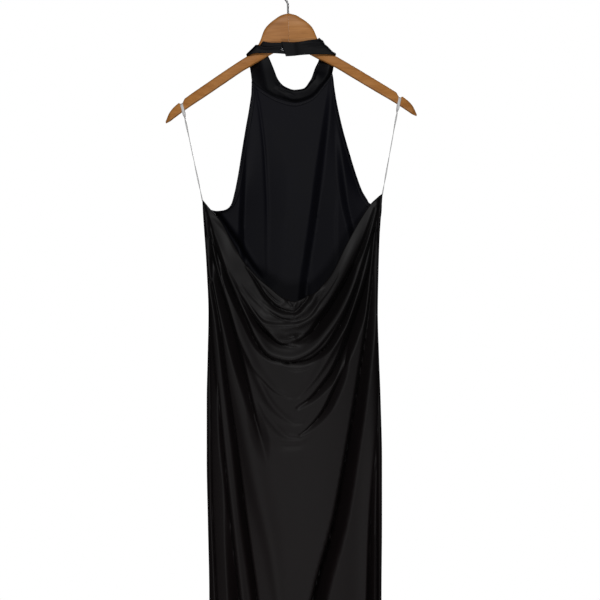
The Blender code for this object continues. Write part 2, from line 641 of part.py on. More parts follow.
# One of the two sides of each wire: distance along the fastener, depth, and distance across it.
WireRow = namedtuple("WireRow", "along y across")
NECK_HOOK_ROWS = [
    WireRow(-10.0, BASE_Y, 1.2),
    WireRow(0.4, BASE_Y, 1.2),
    WireRow(1.2, BASE_Y + 0.4, 1.2),
    WireRow(1.5, BAR_Y, 1.2),
    WireRow(1.2, BILL_Y - 0.4, 1.2),
    WireRow(0.4, BILL_Y, 1.2),
    WireRow(-2.4, BILL_Y, 1.0),
    WireRow(-3.2, BILL_Y, 0.5),
]
NECK_EYE_ROWS = [
    WireRow(0.0, BILL_Y, 5.4),
    WireRow(0.0, BILL_Y, 3.8),
    WireRow(0.0, BAR_Y, 2.4),
]


def there_and_back(rows):
    """Points along one side of a doubled wire and back along the other."""
    there = [fastener_place(row.along, row.y, row.across) for row in rows]
    return there + [fastener_place(row.along, row.y, -row.across) for row in reversed(rows)]


def add_neck_hook(material):
    """A doubled wire, sewn under the band's right end and bent back round the eye's bar."""
    return add_wire("neck_hook", there_and_back(NECK_HOOK_ROWS), FASTENER_WIRE, material, 1)


def add_neck_eye(material):
    """A wire bar across the hook, its two feet sewn to the band's left end."""
    return add_wire("neck_eye", there_and_back(NECK_EYE_ROWS), FASTENER_WIRE, material, 1)


def main():
    for obj in list(bpy.data.objects):
        bpy.data.objects.remove(obj)
    jersey = plain_material("jersey", (0.012, 0.011, 0.013), 0.6)
    wood = plain_material("wood", (0.38, 0.17, 0.06), 0.45)
    steel = plain_material("steel", (0.7, 0.7, 0.72), 0.25, 1.0)
    add_cloth("back", back_points(), jersey)
    add_cloth("front", front_points(), jersey)
    add_cloth("neck_band", band_points(), jersey)
    add_hanger_wood(wood)
    add_hanger_hook(steel)
    tape = plain_material("tape", (0.8, 0.8, 0.8), 0.5)
    for name, side, edge in (("left", -1, COWL_EDGE[0]), ("right", 1, COWL_EDGE[-1])):
        add_hanger_loop(f"hanger_loop_{name}", side, (edge.x, 0.0, edge.height), tape)
    add_neck_hook(steel)
    add_neck_eye(steel)


main()
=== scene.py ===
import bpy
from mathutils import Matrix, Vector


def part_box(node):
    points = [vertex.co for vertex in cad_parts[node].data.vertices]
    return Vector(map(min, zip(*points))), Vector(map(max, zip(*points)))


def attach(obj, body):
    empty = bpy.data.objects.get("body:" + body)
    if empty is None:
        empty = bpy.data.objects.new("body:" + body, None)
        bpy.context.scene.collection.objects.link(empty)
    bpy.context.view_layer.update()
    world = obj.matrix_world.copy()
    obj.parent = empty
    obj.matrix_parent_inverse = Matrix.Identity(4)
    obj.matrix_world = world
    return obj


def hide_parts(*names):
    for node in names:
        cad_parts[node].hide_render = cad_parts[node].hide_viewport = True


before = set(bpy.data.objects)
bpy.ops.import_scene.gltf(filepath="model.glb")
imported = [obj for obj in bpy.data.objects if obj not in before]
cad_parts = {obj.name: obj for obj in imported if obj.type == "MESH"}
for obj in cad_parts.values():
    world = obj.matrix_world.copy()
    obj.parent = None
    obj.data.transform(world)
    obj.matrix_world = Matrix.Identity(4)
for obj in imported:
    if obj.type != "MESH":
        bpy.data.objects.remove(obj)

"""The looks of a halter maxi dress on a wooden hanger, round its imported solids.

Lengths are in millimetres until a mesh is made, and heights are below the inside top of the
hanger's hook, which is the origin. The back of the dress faces -Y, towards the camera. The tables
of sections and edges repeat the solids' own, and each cloth piece adds its finer folds to them.
"""

from collections import namedtuple
import math

import bpy
import numpy as np
from mathutils import Vector

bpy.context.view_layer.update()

MM = 0.001
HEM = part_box("back")[0].z / MM  # height of the hem


def table(row_type, rows):
    """A table whose rows have the named columns of row_type."""
    return [row_type(*row) for row in rows]


# --- the cloth's tables, as in the solids --------------------------------------------------
SectionRow = namedtuple("SectionRow", "height left right back front")
SECTION_ROWS = table(SectionRow, [
    (HEM, -140, 171, 40, 26),
    (-1340, -137.5, 168, 37, 25),
    (-1104, -136.5, 166, 37, 24),
    (-963, -139, 167, 38, 24),
    (-857, -141, 167, 40, 24),
    (-751, -141, 164.5, 42, 24),
    (-681, -139.5, 162, 42, 24),
    (-600, -138, 159.5, 38, 23),
    (-520, -141, 161, 32, 21),
    (-460, -145, 163, 26, 19),
    (-416, -148, 166, 20, 17),
    (-380, -149.5, 168.5, 16, 16),
])

FrontRow = namedtuple("FrontRow", "left_x left_z middle_z right_x right_z rise")
FRONT_ROWS = table(FrontRow, [
    (-63.5, -210, -246, 83, -196, 2),
    (-68, -240, -268, 87.5, -224, 2.2),
    (-74.5, -278, -297, 98, -272, 2.5),
    (-81, -316, -328, 109.5, -313, 3),
    (-87, -354, -359, 121.5, -353, 4),
    (-93.5, -388, -387, 132.5, -383, 6),
    (-99.5, -408, -404, 140, -395.5, 6),
    (-110, -416.5, -414, 146.5, -404, 6),
    (-125, -418, -423, 152, -406, 8),
    (-138, -414, -432, 158.5, -397.5, 10),
    (-148.3, -400, -442, 167, -389, 12),
])

EdgeRow = namedtuple("EdgeRow", "x height")
COWL_EDGE = table(EdgeRow, [
    (-149, -400),
    (-138, -414),
    (-118, -438),
    (-98, -475),
    (-74, -516),
    (-39, -551),
    (9, -580),
    (43, -568),
    (76, -536),
    (107, -478),
    (134, -430),
    (149, -407),
    (168, -389),
])

BandRow = namedtuple("BandRow", "up_x up_y up_z low_x low_y low_z")
BAND_ROWS = table(BandRow, [
    (4, -10.4, -122.5, 5, -10.4, -143),
    (-26, -10.4, -122.5, -27, -10.4, -141),
    (-41, -10.5, -120, -52, -10.5, -141),
    (-47, -7, -118.5, -67.5, -8, -143.5),
    (-48.8, 1, -115.3, -71.5, 1.5, -142),
    (-47, 10, -119.5, -70, 11.5, -146.5),
    (-40, 13, -132, -66.5, 14, -160),
    (-31.7, 13.5, -147, -64, 14.5, -174),
    (-24, 14, -165, -62.6, 15, -185),
    (-15.9, 15, -184.4, -42, 16, -203.5),
    (-3.5, 16, -197, -14, 17, -218),
    (13, 16.5, -203, 15, 17.5, -224.6),
    (29.3, 16, -200.5, 43, 17, -216.5),
    (41.8, 15, -184.4, 64, 16, -195),
    (49.5, 14.5, -165, 80, 15, -171),
    (56.4, 14, -149, 82.5, 14.5, -158),
    (58, 13, -131, 84.5, 13.5, -149),
    (57, 10.5, -117, 85.5, 12, -145),
    (56.3, 1, -112.5, 86, 2.5, -140.5),
    (54.5, -7, -115.5, 83, -7.5, -143),
    (40, -10.5, -118, 54, -10.5, -143),
    (20, -13, -121.5, 26, -12.6, -144.5),
    (8, -15.4, -122.5, 12, -15.4, -146.5),
    (-10, -15.7, -121.8, -2, -15.8, -147.3),
])
BAND_SEAM_START, BAND_SEAM_END = 8, 14  # rows between which the front is sewn to the lower edge

# --- folds ---------------------------------------------------------------------------------
# Each fold follows a path of (x, z) points. out is how far it stands out of the cloth, and left
# and right are its widths to either side as one walks the path. start and end say how much of
# that size it has at its two ends.
Fold = namedtuple("Fold", "out left right start end path")
COWL_FOLDS = table(Fold, [
    # The top lobe's lower edge, from the left ear to the middle, and its bright crest.
    (10.5, 20, 5, 0.25, 0.25, ((-143, -420), (-123, -464), (-97, -531), (-72, -575), (-55, -599),
        (-41, -616), (-28, -631), (-14, -647), (2, -653), (18, -654), (33, -649))),
    (9, 22, 13, 0.3, 0.3, ((-64, -592), (-50, -606), (-33, -612), (-16, -614), (0, -616),
        (16, -616), (33, -610), (51, -596))),
    (-5, 11, 4.5, 0.4, 0.3, ((-80, -555), (-54, -591), (-37, -607), (-19, -611), (-3, -612),
        (22, -609), (39, -601), (56, -578), (72, -557), (88, -530))),
    (8.5, 16, 9, 0.3, 0.25, ((20, -616), (48, -599), (62, -584), (76, -562), (93, -531),
        (115, -490), (138, -448), (157, -405))),
    # The top edge stands out a little on both sides, so that its strip hangs flat.
    (6.5, 8, 25, 0, 0.2, ((-141, -424), (-125, -440), (-107, -460), (-93, -487), (-72, -513),
        (-58, -540))),
    (6.5, 8, 25, 0.2, 0, ((58, -565), (72, -540), (88, -513), (100, -487), (113, -460),
        (135, -425), (153, -402))),
    # The lobes below it.
    (9, 10, 5, 0.25, 0.3, ((-132, -458), (-108, -518), (-83, -575), (-56, -631), (-26, -668),
        (5, -675), (41, -661), (76, -622), (106, -568), (130, -504), (148, -444), (159, -404))),
    (9, 13, 6, 0.3, 0.1, ((-145, -430), (-129, -495), (-102, -575), (-83, -636), (-57, -689),
        (-39, -712), (-18, -733), (4, -744))),
    (9, 14, 7, 0.1, 0.3, ((22, -742), (50, -708), (83, -652), (113, -586), (141, -508),
        (160, -420))),
    (3.6, 6, 7, 0.5, 0.15, ((-66, -682), (-46, -721), (-28, -753), (-4, -777), (14, -788),
        (28, -789))),
    (2.8, 5, 7, 0.3, 0.15, ((-46, -756), (-34, -777), (-21, -792), (4, -811), (21, -813),
        (36, -807))),
    (1.3, 4.5, 7, 0.2, 0.1, ((-34, -803), (-25, -816), (-7, -828), (21, -827), (44, -814))),
    (2, 5, 4, 0, 0, ((-12, -689), (18, -694), (48, -688))),
    # The layers that lie behind one another at the middle of the top edge.
    (-10, 5, 3.5, 0.3, 0.4, ((-71, -517), (-60, -534), (-49, -552), (-39, -568), (-28, -580),
        (-18, -588), (-4, -593), (11, -596), (23, -594))),
    (3, 3, 5, 0.3, 0.3, ((-44, -577), (-32, -587), (-18, -595), (-2, -600), (14, -600),
        (26, -594))),
    (-5, 5, 3, 0.1, 0.2, ((-33, -592), (-20, -601), (-8, -607), (4, -609), (16, -606))),
    (6, 3.5, 8, 0.2, 0.8, ((5, -610), (19, -599), (32, -588), (42, -577), (49, -564),
        (55, -555))),
    (-6, 4, 3, 0.3, 0.5, ((12, -596), (24, -588), (34, -576), (42, -563), (48, -553))),
    (-3, 2.5, 2.5, 0.6, 0.3, ((-44, -550), (-32, -564), (-20, -575), (-8, -581))),
    (2.5, 2.2, 2.5, 0.4, 0.6, ((-22, -580), (-12, -582), (-4, -578))),
    (-3.5, 2.2, 2.2, 0.5, 0.5, ((-4, -574), (4, -580), (11, -588))),
    (3, 2.5, 2.2, 0.4, 0.6, ((4, -590), (12, -586), (17, -578))),
    (-3.5, 2.4, 2.4, 0.4, 0.6, ((17, -593), (24, -586), (28, -576))),
    (2.5, 2.2, 2.2, 0.5, 0.5, ((27, -588), (34, -581), (39, -573))),
    (-2.5, 6, 6, 0, 0, ((-78, -545), (-62, -566), (-44, -585))),
    # Valleys.
    (-5, 9, 3, 0.1, 0.1, ((-14, -641), (2, -641), (18, -638), (32, -634))),
    (-12, 9, 8, 0.2, 0.1, ((-102, -522), (-76, -575), (-44, -624), (-12, -652), (12, -656),
        (32, -652))),
    (-24, 13, 12, 0.08, 0.35, ((-4, -652), (22, -648), (46, -633), (62, -612), (78, -589),
        (104, -543), (115, -518))),
    (-9, 7, 6, 0.4, 0.4, ((96, -557), (115, -518), (130, -484), (143, -450), (155, -413))),
    (-12, 8, 7, 0.3, 0.2, ((-134, -460), (-109, -529), (-78, -599), (-49, -659), (-26, -679),
        (2, -686))),
    (-18, 9, 8, 0.15, 0.3, ((-4, -685), (30, -683), (64, -664), (90, -629), (108, -592),
        (134, -522), (152, -455))),
    (-30, 13, 14, 0.1, 0.25, ((20, -762), (42, -748), (60, -730), (86, -697), (103, -662),
        (115, -628), (127, -592), (137, -557), (147, -505), (155, -450))),
    (-15, 8, 11, 0.15, 0.1, ((24, -809), (36, -801), (66, -769), (84, -734), (98, -700),
        (108, -660))),
    # Short gathers that spread from the tops of the side seams.
    (-6, 4, 4, 0.5, 0, ((-146, -411), (-139, -437), (-134, -487), (-130, -557))),
    (-6, 4, 4, 0.4, 0, ((-145, -409), (-132, -451), (-120, -508), (-109, -557))),
    (-6, 4, 4, 0.5, 0, ((164, -398), (160, -455), (160, -539), (160, -628))),
    (-6, 4, 4, 0.4, 0, ((162, -404), (152, -469), (143, -531), (132, -575))),
])
SKIRT_FOLDS = table(Fold, [
    (-22, 11, 11, 0.4, 0, ((-139, -465), (-127, -527), (-103, -610), (-80, -698), (-60, -769),
        (-45, -822))),
    (-6, 16, 16, 0.3, 0, ((-64, -756), (-54, -789), (-44, -822), (-33, -862))),
    (-23, 7, 6.5, 0.5, 1, ((-134, -543), (-121, -610), (-107, -716), (-92, -822), (-75, -963),
        (-57, -1095), (-36, -1280), (-7, -1580))),
    (-12, 5, 5, 0.3, 0.3, ((-120, -730), (-114, -822), (-107, -892), (-103, -950))),
    (-32, 11, 16, 0.05, 1, ((-106, -890), (-101, -971), (-91, -1086), (-75, -1280),
        (-48, -1580))),
    (-7, 3.5, 3, 0.3, 1, ((-139, -548), (-136, -698), (-132, -927), (-126, -1060),
        (-115, -1280), (-100, -1580))),
    (5.5, 9, 3.5, 0.3, 1, ((-139, -501), (-133, -584), (-128, -645), (-121, -712),
        (-108, -825), (-93, -954), (-76, -1104), (-56, -1280), (-30, -1580))),
    (6, 22, 16, 0.3, 0, ((-136, -508), (-118, -578), (-102, -681), (-76, -786), (-51, -901),
        (-26, -1015), (-5, -1174))),
    (-44, 15, 14, 0.25, 0.95, ((159, -455), (151, -566), (132, -716), (116, -822), (92, -959),
        (58, -1086), (28, -1245), (9, -1580))),
    (9, 4, 20, 0.3, 0.9, ((158, -610), (157, -719), (155, -857), (154, -1015), (153, -1209),
        (150, -1580))),
    (-21, 5.5, 9, 0.1, 1, ((158, -795), (152, -880), (148.5, -945), (146.5, -1015),
        (146, -1051), (145.5, -1090), (141, -1280), (133, -1580))),
    (-14, 4, 5.5, 0.3, 1, ((162, -663), (160, -822), (160, -1104), (161, -1580))),
])
# On the front, out is away from the camera, so a negative one stands out of its wrong side.
BODICE_FOLDS = table(Fold, [
    (3, 3, 3, 0.6, 0.2, ((-58, -190), (-48, -243), (-39, -328), (-35, -434), (-35, -531))),
    (-16, 75, 11, 0.1, 0.8, ((-69, -235), (-72, -300), (-74, -398), (-76, -451), (-74, -508))),
    (-20, 85, 14, 0.3, 0.9, ((82, -183), (72, -275), (57, -398), (47, -469), (38, -522),
        (32, -575))),
    (-16, 75, 12, 0.15, 0.8, ((89, -249), (98, -330), (106, -398), (118, -451), (126, -485))),
    (-2.5, 20, 5, 0, 0.6, ((90, -381), (89, -451), (90, -515))),
    (17, 7, 12, 0.4, 0.3, ((-124, -421), (-105, -452), (-85, -482), (-65, -513), (-46, -536))),
])
FRONT_SKIRT_FOLDS = table(Fold, [
    (7, 13, 13, 0.1, 1, ((-120, -470), (-116, -700), (-110, -900), (-102, -1100),
        (-90, -1580))),
    (-7, 15, 15, 0.1, 1, ((-62, -560), (-72, -700), (-66, -900), (-56, -1100), (-44, -1580))),
    (6, 17, 17, 0.1, 1, ((-36, -520), (-30, -700), (-18, -900), (-6, -1100), (4, -1580))),
    (-8, 14, 14, 0.1, 1, ((30, -600), (34, -700), (42, -900), (52, -1100), (60, -1580))),
    (9, 15, 15, 0.1, 1, ((30, -480), (60, -700), (84, -900), (96, -1100), (104, -1580))),
    (-7, 10, 10, 0.1, 1, ((128, -520), (124, -700), (130, -900), (134, -1100), (138, -1580))),
    (-4, 7, 9, 0.2, 0, ((-128, -640), (-98, -820), (-84, -1040), (-72, -1240))),
    (-4, 9, 7, 0.2, 0, ((150, -610), (112, -760), (76, -960), (66, -1180))),
    (3.5, 8, 12, 0, 0.3, ((-84, -560), (-52, -610), (0, -632), (52, -612), (96, -556))),
    (3, 8, 12, 0, 0.3, ((-74, -640), (-40, -676), (6, -690), (50, -672), (84, -634))),
])
# On the neck band, x is the distance along it from its left end, and z the height in it.
BAND_FOLDS = table(Fold, [
    (-1.6, 2.5, 3.5, 0.4, 0.6, ((0, -6), (22, -7), (45, -11), (66, -9))),
    (1.3, 3, 4, 0.2, 0.4, ((4, -13), (28, -14), (52, -16))),
    (14, 42, 15, 0.7, 0.4, ((86, -12), (98, -13), (112, -14), (126, -15), (142, -17),
        (156, -22))),
    (11, 4.5, 24, 0.3, 0.6, ((170, -6), (182, -5), (196, -4), (210, -4), (226, -4), (242, -5))),
    (-1.5, 3, 3, 0.1, 0.1, ((150, -14), (168, -8), (190, -7), (206, -13))),
    (1.5, 3, 4, 0.1, 0.2, ((158, -16), (176, -13), (200, -16))),
    (15, 24, 6, 0.3, 0.4, ((246, -24), (268, -29), (286, -27), (306, -33))),
    (-1.8, 2.5, 4, 0.4, 0.5, ((300, -8), (330, -8), (352, -5), (372, -4))),
    (1.4, 3, 4, 0.3, 0.3, ((310, -15), (336, -16), (362, -12))),
])
VALLEY_POWER = 1.25  # of the rise of a valley's sides, straight at 1
PATH_STEPS = 60  # straight pieces that a fold's path is measured along
FOLD_REACH = 3.5  # times its width, beyond which a fold isn't worked out
SLIM_END = 0.2  # the least size that a fold's width follows

# --- the fine surfaces ---------------------------------------------------------------------
CLOTH = 1.0  # wall of the fine cloth
COWL_BOTTOM = -625.0  # above this the edges along the rows of a panel are never sharp
CREASE_ANGLE = 62.0  # a fold that turns more than this from one face to the next is a sharp crease
BAND_WALL = 1.7  # the neck band is folded double
ROUNDNESS = 0.8  # power of the cosine that a panel's depth follows from side to side
EAR_BOTTOM = -430.0  # above this the two layers of a side seam's top part a little
EAR_PARTING, EAR_FADE = 0.8, 30.0  # by how much, and over what height it grows
SEAM_CALM = 8  # power by which folds die out towards the side seams
SEAM_PINCH = 0.9  # how far a side seam is drawn in
BODICE_DEPTH = 17.0  # how far in front of the hook the flat bodice hangs
BODICE_END = -310.0  # below this the bodice turns round into the skirt
BACK_COLUMNS = 210
COWL_ROWS = 138
COWL_DEEP = 262.0  # how far below the top edge the close rows of the back reach
SKIRT_ROWS = 78
SKIRT_SPREAD, FRONT_SPREAD = 1.15, 1.2  # powers by which rows lie further apart towards the hem
SIDE_CROWDING, SIDE_SPREAD, SIDE_WEIGHT = 0.16, 2.6, 1.6  # how the back's rows lie near the ears
LIP_TURN = 2.6  # radius of the soft roll along the cowl's top edge
LIP_LEAST, LIP_POWER = 0.5, 6  # how that radius narrows towards the ears
LIP_ANGLES = (150, 115, 80, 40)  # degrees round the roll, the inmost first
LIP_INSIDE = (8, 6, 4, 2)  # rows of the back that the turned-in edge lies behind
FRONT_COLUMNS = 170
FRONT_SKIRT_ROWS = 150
FRONT_ROWS_BETWEEN = 6
NECK_ROWS = 12  # fine rows between the neck seam and the front's first row
FOLD_SAG = 0.32  # how much of its height a cowl fold hangs over what lies below it
FOLD_LEAN = 0.22  # how much of its height a long fold leans over to its own side
BAND_COLUMNS = 380
BAND_STRIPS = 18
BAND_EDGE_CALM = 7.0  # within this of the band's lower edge its folds die out


def smooth_curve(places, values):
    """A function that passes through the points and doesn't overshoot between them."""
    places, values = np.array(places, float), np.array(values, float)
    steps = np.diff(places)
    rises = np.diff(values) / steps
    slopes = np.concatenate([rises[:1], np.zeros(len(rises) - 1), rises[-1:]])
    before, after = rises[:-1], rises[1:]
    same = before * after > 0
    slopes[1:-1][same] = 2 * before[same] * after[same] / (before[same] + after[same])

    def value_at(place):
        place = np.clip(place, places[0], places[-1])
        i = np.clip(np.searchsorted(places, place, side="right") - 1, 0, len(steps) - 1)
        t = (place - places[i]) / steps[i]
        start = values[i] * (1 + 2 * t) * (1 - t) ** 2 + steps[i] * slopes[i] * t * (1 - t) ** 2
        end = values[i + 1] * (3 - 2 * t) * t**2 + steps[i] * slopes[i + 1] * (t - 1) * t**2
        return start + end

    return value_at


def soft_step(value):
    value = np.clip(value, 0.0, 1.0)
    return value * value * (3 - 2 * value)


def column_of(rows, name):
    return [getattr(row, name) for row in rows]


def column_curve(rows, places, values):
    """A smooth curve of one column of a table over another."""
    return smooth_curve(column_of(rows, places), column_of(rows, values))


side_left, side_right, back_depth, front_depth = (
    column_curve(SECTION_ROWS, "height", name) for name in ("left", "right", "back", "front")
)
cowl_edge = column_curve(COWL_EDGE, "x", "height")


def lengths_along(points):
    """Distance of each point from the first, along the line through them."""
    return np.concatenate([[0.0], np.cumsum(np.linalg.norm(np.diff(points, axis=0), axis=1))])


def places_along(points, lengths, places):
    """Points at these distances along the straight pieces between the given ones."""
    return np.stack([np.interp(places, lengths, axis) for axis in points.T], axis=-1)


def smooth_line(points, count):
    """This many points, evenly spaced along a smooth line through the given ones."""
    points = np.array(points, float)
    lengths = lengths_along(points)
    places = np.linspace(0.0, lengths[-1], count)
    return np.stack([smooth_curve(lengths, axis)(places) for axis in points.T], axis=1)


def headings(path):
    """Unit directions along a line of points."""
    ahead = np.gradient(path, axis=0)
    return ahead / np.linalg.norm(ahead, axis=1)[:, None]


def fold_heights(folds, x, z):
    """How far all these folds stand out at each point, and how far they lean to their own side."""
    total, leaning = np.zeros_like(x), np.zeros_like(x)
    for fold in folds:
        line = smooth_line(fold.path, PATH_STEPS + 1)
        reach = FOLD_REACH * max(fold.left, fold.right)
        low, high = line.min(axis=0) - reach, line.max(axis=0) + reach
        near = (x > low[0]) & (x < high[0]) & (z > low[1]) & (z < high[1])
        points = np.stack([x[near], z[near]], axis=1)
        starts, runs = line[:-1], np.diff(line, axis=0)
        rel = points[:, None, :] - starts[None]
        share = np.clip((rel * runs).sum(axis=2) / (runs**2).sum(axis=1), 0.0, 1.0)
        away = np.linalg.norm(rel - share[..., None] * runs, axis=2)
        nearest = away.argmin(axis=1)
        rows = np.arange(len(points))
        run, gap = runs[nearest], rel[rows, nearest]
        to_left = run[:, 0] * gap[:, 1] - run[:, 1] * gap[:, 0] > 0
        place = (nearest + share[rows, nearest]) / PATH_STEPS
        size = smooth_curve((0.0, 0.5, 1.0), (fold.start, 1.0, fold.end))(place)
        width = np.where(to_left, fold.left, fold.right) * np.sqrt(np.maximum(size, SLIM_END))
        off = away[rows, nearest] / width
        if fold.out > 0:
            profile = np.exp(-(off**2))
        else:
            profile = np.clip(1 - off, 0.0, 1.0) ** VALLEY_POWER
        height = fold.out * size * profile
        total[near] += height
        leaning[near] += math.copysign(1, fold.path[0][0]) * height
    return total, FOLD_LEAN * leaning


def columns_across(columns):
    return np.linspace(-1.0, 1.0, columns + 1)


def tube_points(across, z, depth):
    """Where a panel's points lie across and how far they stand out, as it goes round from one
    side seam, at across = -1, to the other at 1."""
    limit = across[-2]
    reach = np.clip(across, -limit, limit) / limit
    middle = (side_left(z) + side_right(z)) / 2
    half = (side_right(z) - side_left(z)) / 2 - SEAM_PINCH * (np.abs(across) > limit)
    x = middle + half * np.sin(reach * math.pi / 2)
    parted = EAR_PARTING * soft_step((z - EAR_BOTTOM) / EAR_FADE) * np.abs(across) ** SEAM_CALM
    stand = depth(z) * np.cos(across * math.pi / 2) ** ROUNDNESS + parted
    return x, stand


def across_of(x, z):
    """How far x is from the middle of the dress, as a share of its half width."""
    left, right = side_left(z), side_right(z)
    return (2 * x - left - right) / (right - left)


def calm_near_seams(across):
    return 1 - np.abs(across) ** SEAM_CALM


def back_points():
    """Fine rows of the back, from inside its turned top edge over the roll and down to the hem."""
    across = columns_across(BACK_COLUMNS)
    whole = min(column_of(COWL_EDGE, "height")) - HEM
    close_rows = np.linspace(0.0, COWL_DEEP, COWL_ROWS, endpoint=False)
    far_rows = COWL_DEEP + (whole - COWL_DEEP) * np.linspace(0, 1, SKIRT_ROWS) ** SKIRT_SPREAD
    left_ear, right_ear = COWL_EDGE[0].x, COWL_EDGE[-1].x
    edge_x = (left_ear + right_ear) / 2 + (right_ear - left_ear) / 2 * np.sin(across * math.pi / 2)
    top = cowl_edge(edge_x)
    side_drop = top - HEM
    rows = []
    for low in np.concatenate([close_rows, far_rows]):
        share = low / whole
        at_side = SIDE_CROWDING * low + (side_drop - SIDE_CROWDING * whole) * share**SIDE_SPREAD
        weight = np.abs(across) ** SIDE_WEIGHT
        mixed = low * (1 - weight) + at_side * weight
        settle = soft_step((low - COWL_DEEP) / (whole - COWL_DEEP))
        z = top - (mixed * (1 - settle) + side_drop * share * settle)
        x, stand = tube_points(across, z, back_depth)
        rows.append(np.stack([x, -stand, z], axis=1))
    grid = np.array(rows)
    x, z = grid[..., 0].copy(), grid[..., 2].copy()
    calm = calm_near_seams(across)
    hanging = fold_heights(COWL_FOLDS, x, z)[0] * calm
    upright, lean = fold_heights(SKIRT_FOLDS, x, z)
    grid[..., 0] += lean * calm
    grid[..., 1] -= hanging + upright * calm
    grid[..., 2] -= FOLD_SAG * hanging
    turn = LIP_LEAST + LIP_TURN * (1 - np.abs(across) ** LIP_POWER)
    lip = [grid[row] + turned(2 * turn, 0.0) for row in LIP_INSIDE]
    for degrees in LIP_ANGLES:
        angle = math.radians(degrees)
        lip.append(grid[0] + turned(turn * (1 - math.cos(angle)), turn * math.sin(angle)))
    return np.concatenate([lip, grid])


def turned(inward, upward):
    """A shift of a row of points towards the inside of the dress and upwards."""
    inward = np.asarray(inward)
    return np.stack([np.zeros_like(inward), inward, upward + np.zeros_like(inward)], axis=-1)


def band_edges(places):
    """Upper and lower edge of the neck band at these places, counted in rows of its table."""
    numbers = range(len(BAND_ROWS))
    edges = []
    for end in ("up", "low"):
        curves = [smooth_curve(numbers, column_of(BAND_ROWS, f"{end}_{axis}")) for axis in "xyz"]
        edges.append(np.stack([curve(places) for curve in curves], axis=1))
    return edges


def band_points():
    """Rows of the neck band from its upper to its lower edge."""
    upper, lower = band_edges(np.linspace(0, len(BAND_ROWS) - 1, BAND_COLUMNS + 1))
    shares = np.linspace(0, 1, BAND_STRIPS + 1)
    grid = np.array([upper + (lower - upper) * share for share in shares])
    width = np.linalg.norm(lower - upper, axis=1)
    x = np.tile(lengths_along((upper + lower) / 2), (len(shares), 1))
    z = -shares[:, None] * width
    to_edge = (1 - shares[:, None]) * width
    wrinkles = fold_heights(BAND_FOLDS, x, z)[0] * soft_step(to_edge / BAND_EDGE_CALM)
    return grid + normals_of(grid) * wrinkles[..., None]


def front_points():
    """Fine rows of the front, from the neck seam past the armholes to the hem."""
    across = columns_across(FRONT_COLUMNS)
    share = (across + 1) / 2
    seam = band_edges(BAND_SEAM_START + (BAND_SEAM_END - BAND_SEAM_START) * share)[1]
    numbers = range(len(FRONT_ROWS))
    curves = {name: smooth_curve(numbers, column_of(FRONT_ROWS, name)) for name in FrontRow._fields}
    fine = np.linspace(0, len(FRONT_ROWS) - 1, (len(FRONT_ROWS) - 1) * FRONT_ROWS_BETWEEN + 1)
    rows = []
    for number in fine:
        row = FrontRow(*(float(curves[name](number)) for name in FrontRow._fields))
        end_z = np.where(across < 0, row.left_z, row.right_z)
        z = row.middle_z + (end_z - row.middle_z) * np.abs(across) ** row.rise
        tube_x, stand = tube_points(across, z, front_depth)
        roundness = soft_step((BODICE_END - row.middle_z) / (BODICE_END - FRONT_ROWS[-1].middle_z))
        spread = across + (across_of(tube_x, z) - across) * roundness
        middle, half = (row.left_x + row.right_x) / 2, (row.right_x - row.left_x) / 2
        y = BODICE_DEPTH + (stand - BODICE_DEPTH) * roundness
        rows.append(np.stack([middle + half * spread, y, z], axis=1))
    near_seam = [seam + (rows[0] - seam) * step / NECK_ROWS for step in range(NECK_ROWS)]
    last_z = rows[-1][:, 2]
    for number in range(1, FRONT_SKIRT_ROWS + 1):
        z = last_z + (HEM - last_z) * (number / FRONT_SKIRT_ROWS) ** FRONT_SPREAD
        x, stand = tube_points(across, z, front_depth)
        rows.append(np.stack([x, stand, z], axis=1))
    grid = np.array(near_seam + rows)
    x, z = grid[..., 0].copy(), grid[..., 2].copy()
    out = fold_heights(BODICE_FOLDS + FRONT_SKIRT_FOLDS, x, z)[0]
    grid[1:, :, 1] += (out * calm_near_seams(across))[1:]
    return grid


def normals_of(grid):
    """Unit normals of a grid whose rows go down and whose columns go to +X: they face -Y."""
    normal = np.cross(np.gradient(grid, axis=0), np.gradient(grid, axis=1))
    return normal / np.maximum(np.linalg.norm(normal, axis=2), 1e-9)[..., None]


# --- meshes --------------------------------------------------------------------------------
def new_object(name, points, faces, materials, ride="root"):
    """An object from points in millimetres, smooth, riding on a body."""
    mesh = bpy.data.meshes.new(name)
    mesh.from_pydata((np.asarray(points) * MM).tolist(), [], faces)
    for material in materials:
        mesh.materials.append(material)
    mesh.shade_smooth()
    obj = bpy.data.objects.new(name, mesh)
    bpy.context.scene.collection.objects.link(obj)
    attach(obj, ride)
    return obj


def grid_faces(rows, columns, ring=False):
    """Quads between rows of points. A ring's last column joins its first."""
    index = np.arange(rows * columns).reshape(rows, columns)
    if ring:
        index = np.concatenate([index, index[:, :1]], axis=1)
    quads = np.stack([index[:-1, :-1], index[1:, :-1], index[1:, 1:], index[:-1, 1:]], axis=-1)
    return quads.reshape(-1, 4).tolist()


def tube_faces(rings, sides):
    """Quads round a tube of rings, and its two flat ends."""
    last = (rings - 1) * sides
    ends = [tuple(range(sides)), tuple(reversed(range(last, last + sides)))]
    return grid_faces(rings, sides, ring=True) + ends


def cloth_object(name, grid, materials, wall=CLOTH):
    """A cloth wall round a grid's surface. The second material is on its wrong side."""
    obj = new_object(name, grid.reshape(-1, 3), grid_faces(*grid.shape[:2]), materials)
    obj.data.set_sharp_from_angle(angle=math.radians(CREASE_ANGLE))
    for edge in obj.data.edges:  # those along the rows stay smooth where the cowl's folds lie
        first, second = edge.vertices
        if abs(first - second) == 1 and obj.data.vertices[first].co.z > COWL_BOTTOM * MM:
            edge.use_edge_sharp = False
    thickness = obj.modifiers.new("thickness", "SOLIDIFY")
    thickness.thickness = wall * MM
    thickness.offset = 0.0
    thickness.material_offset = len(materials) - 1
    return obj


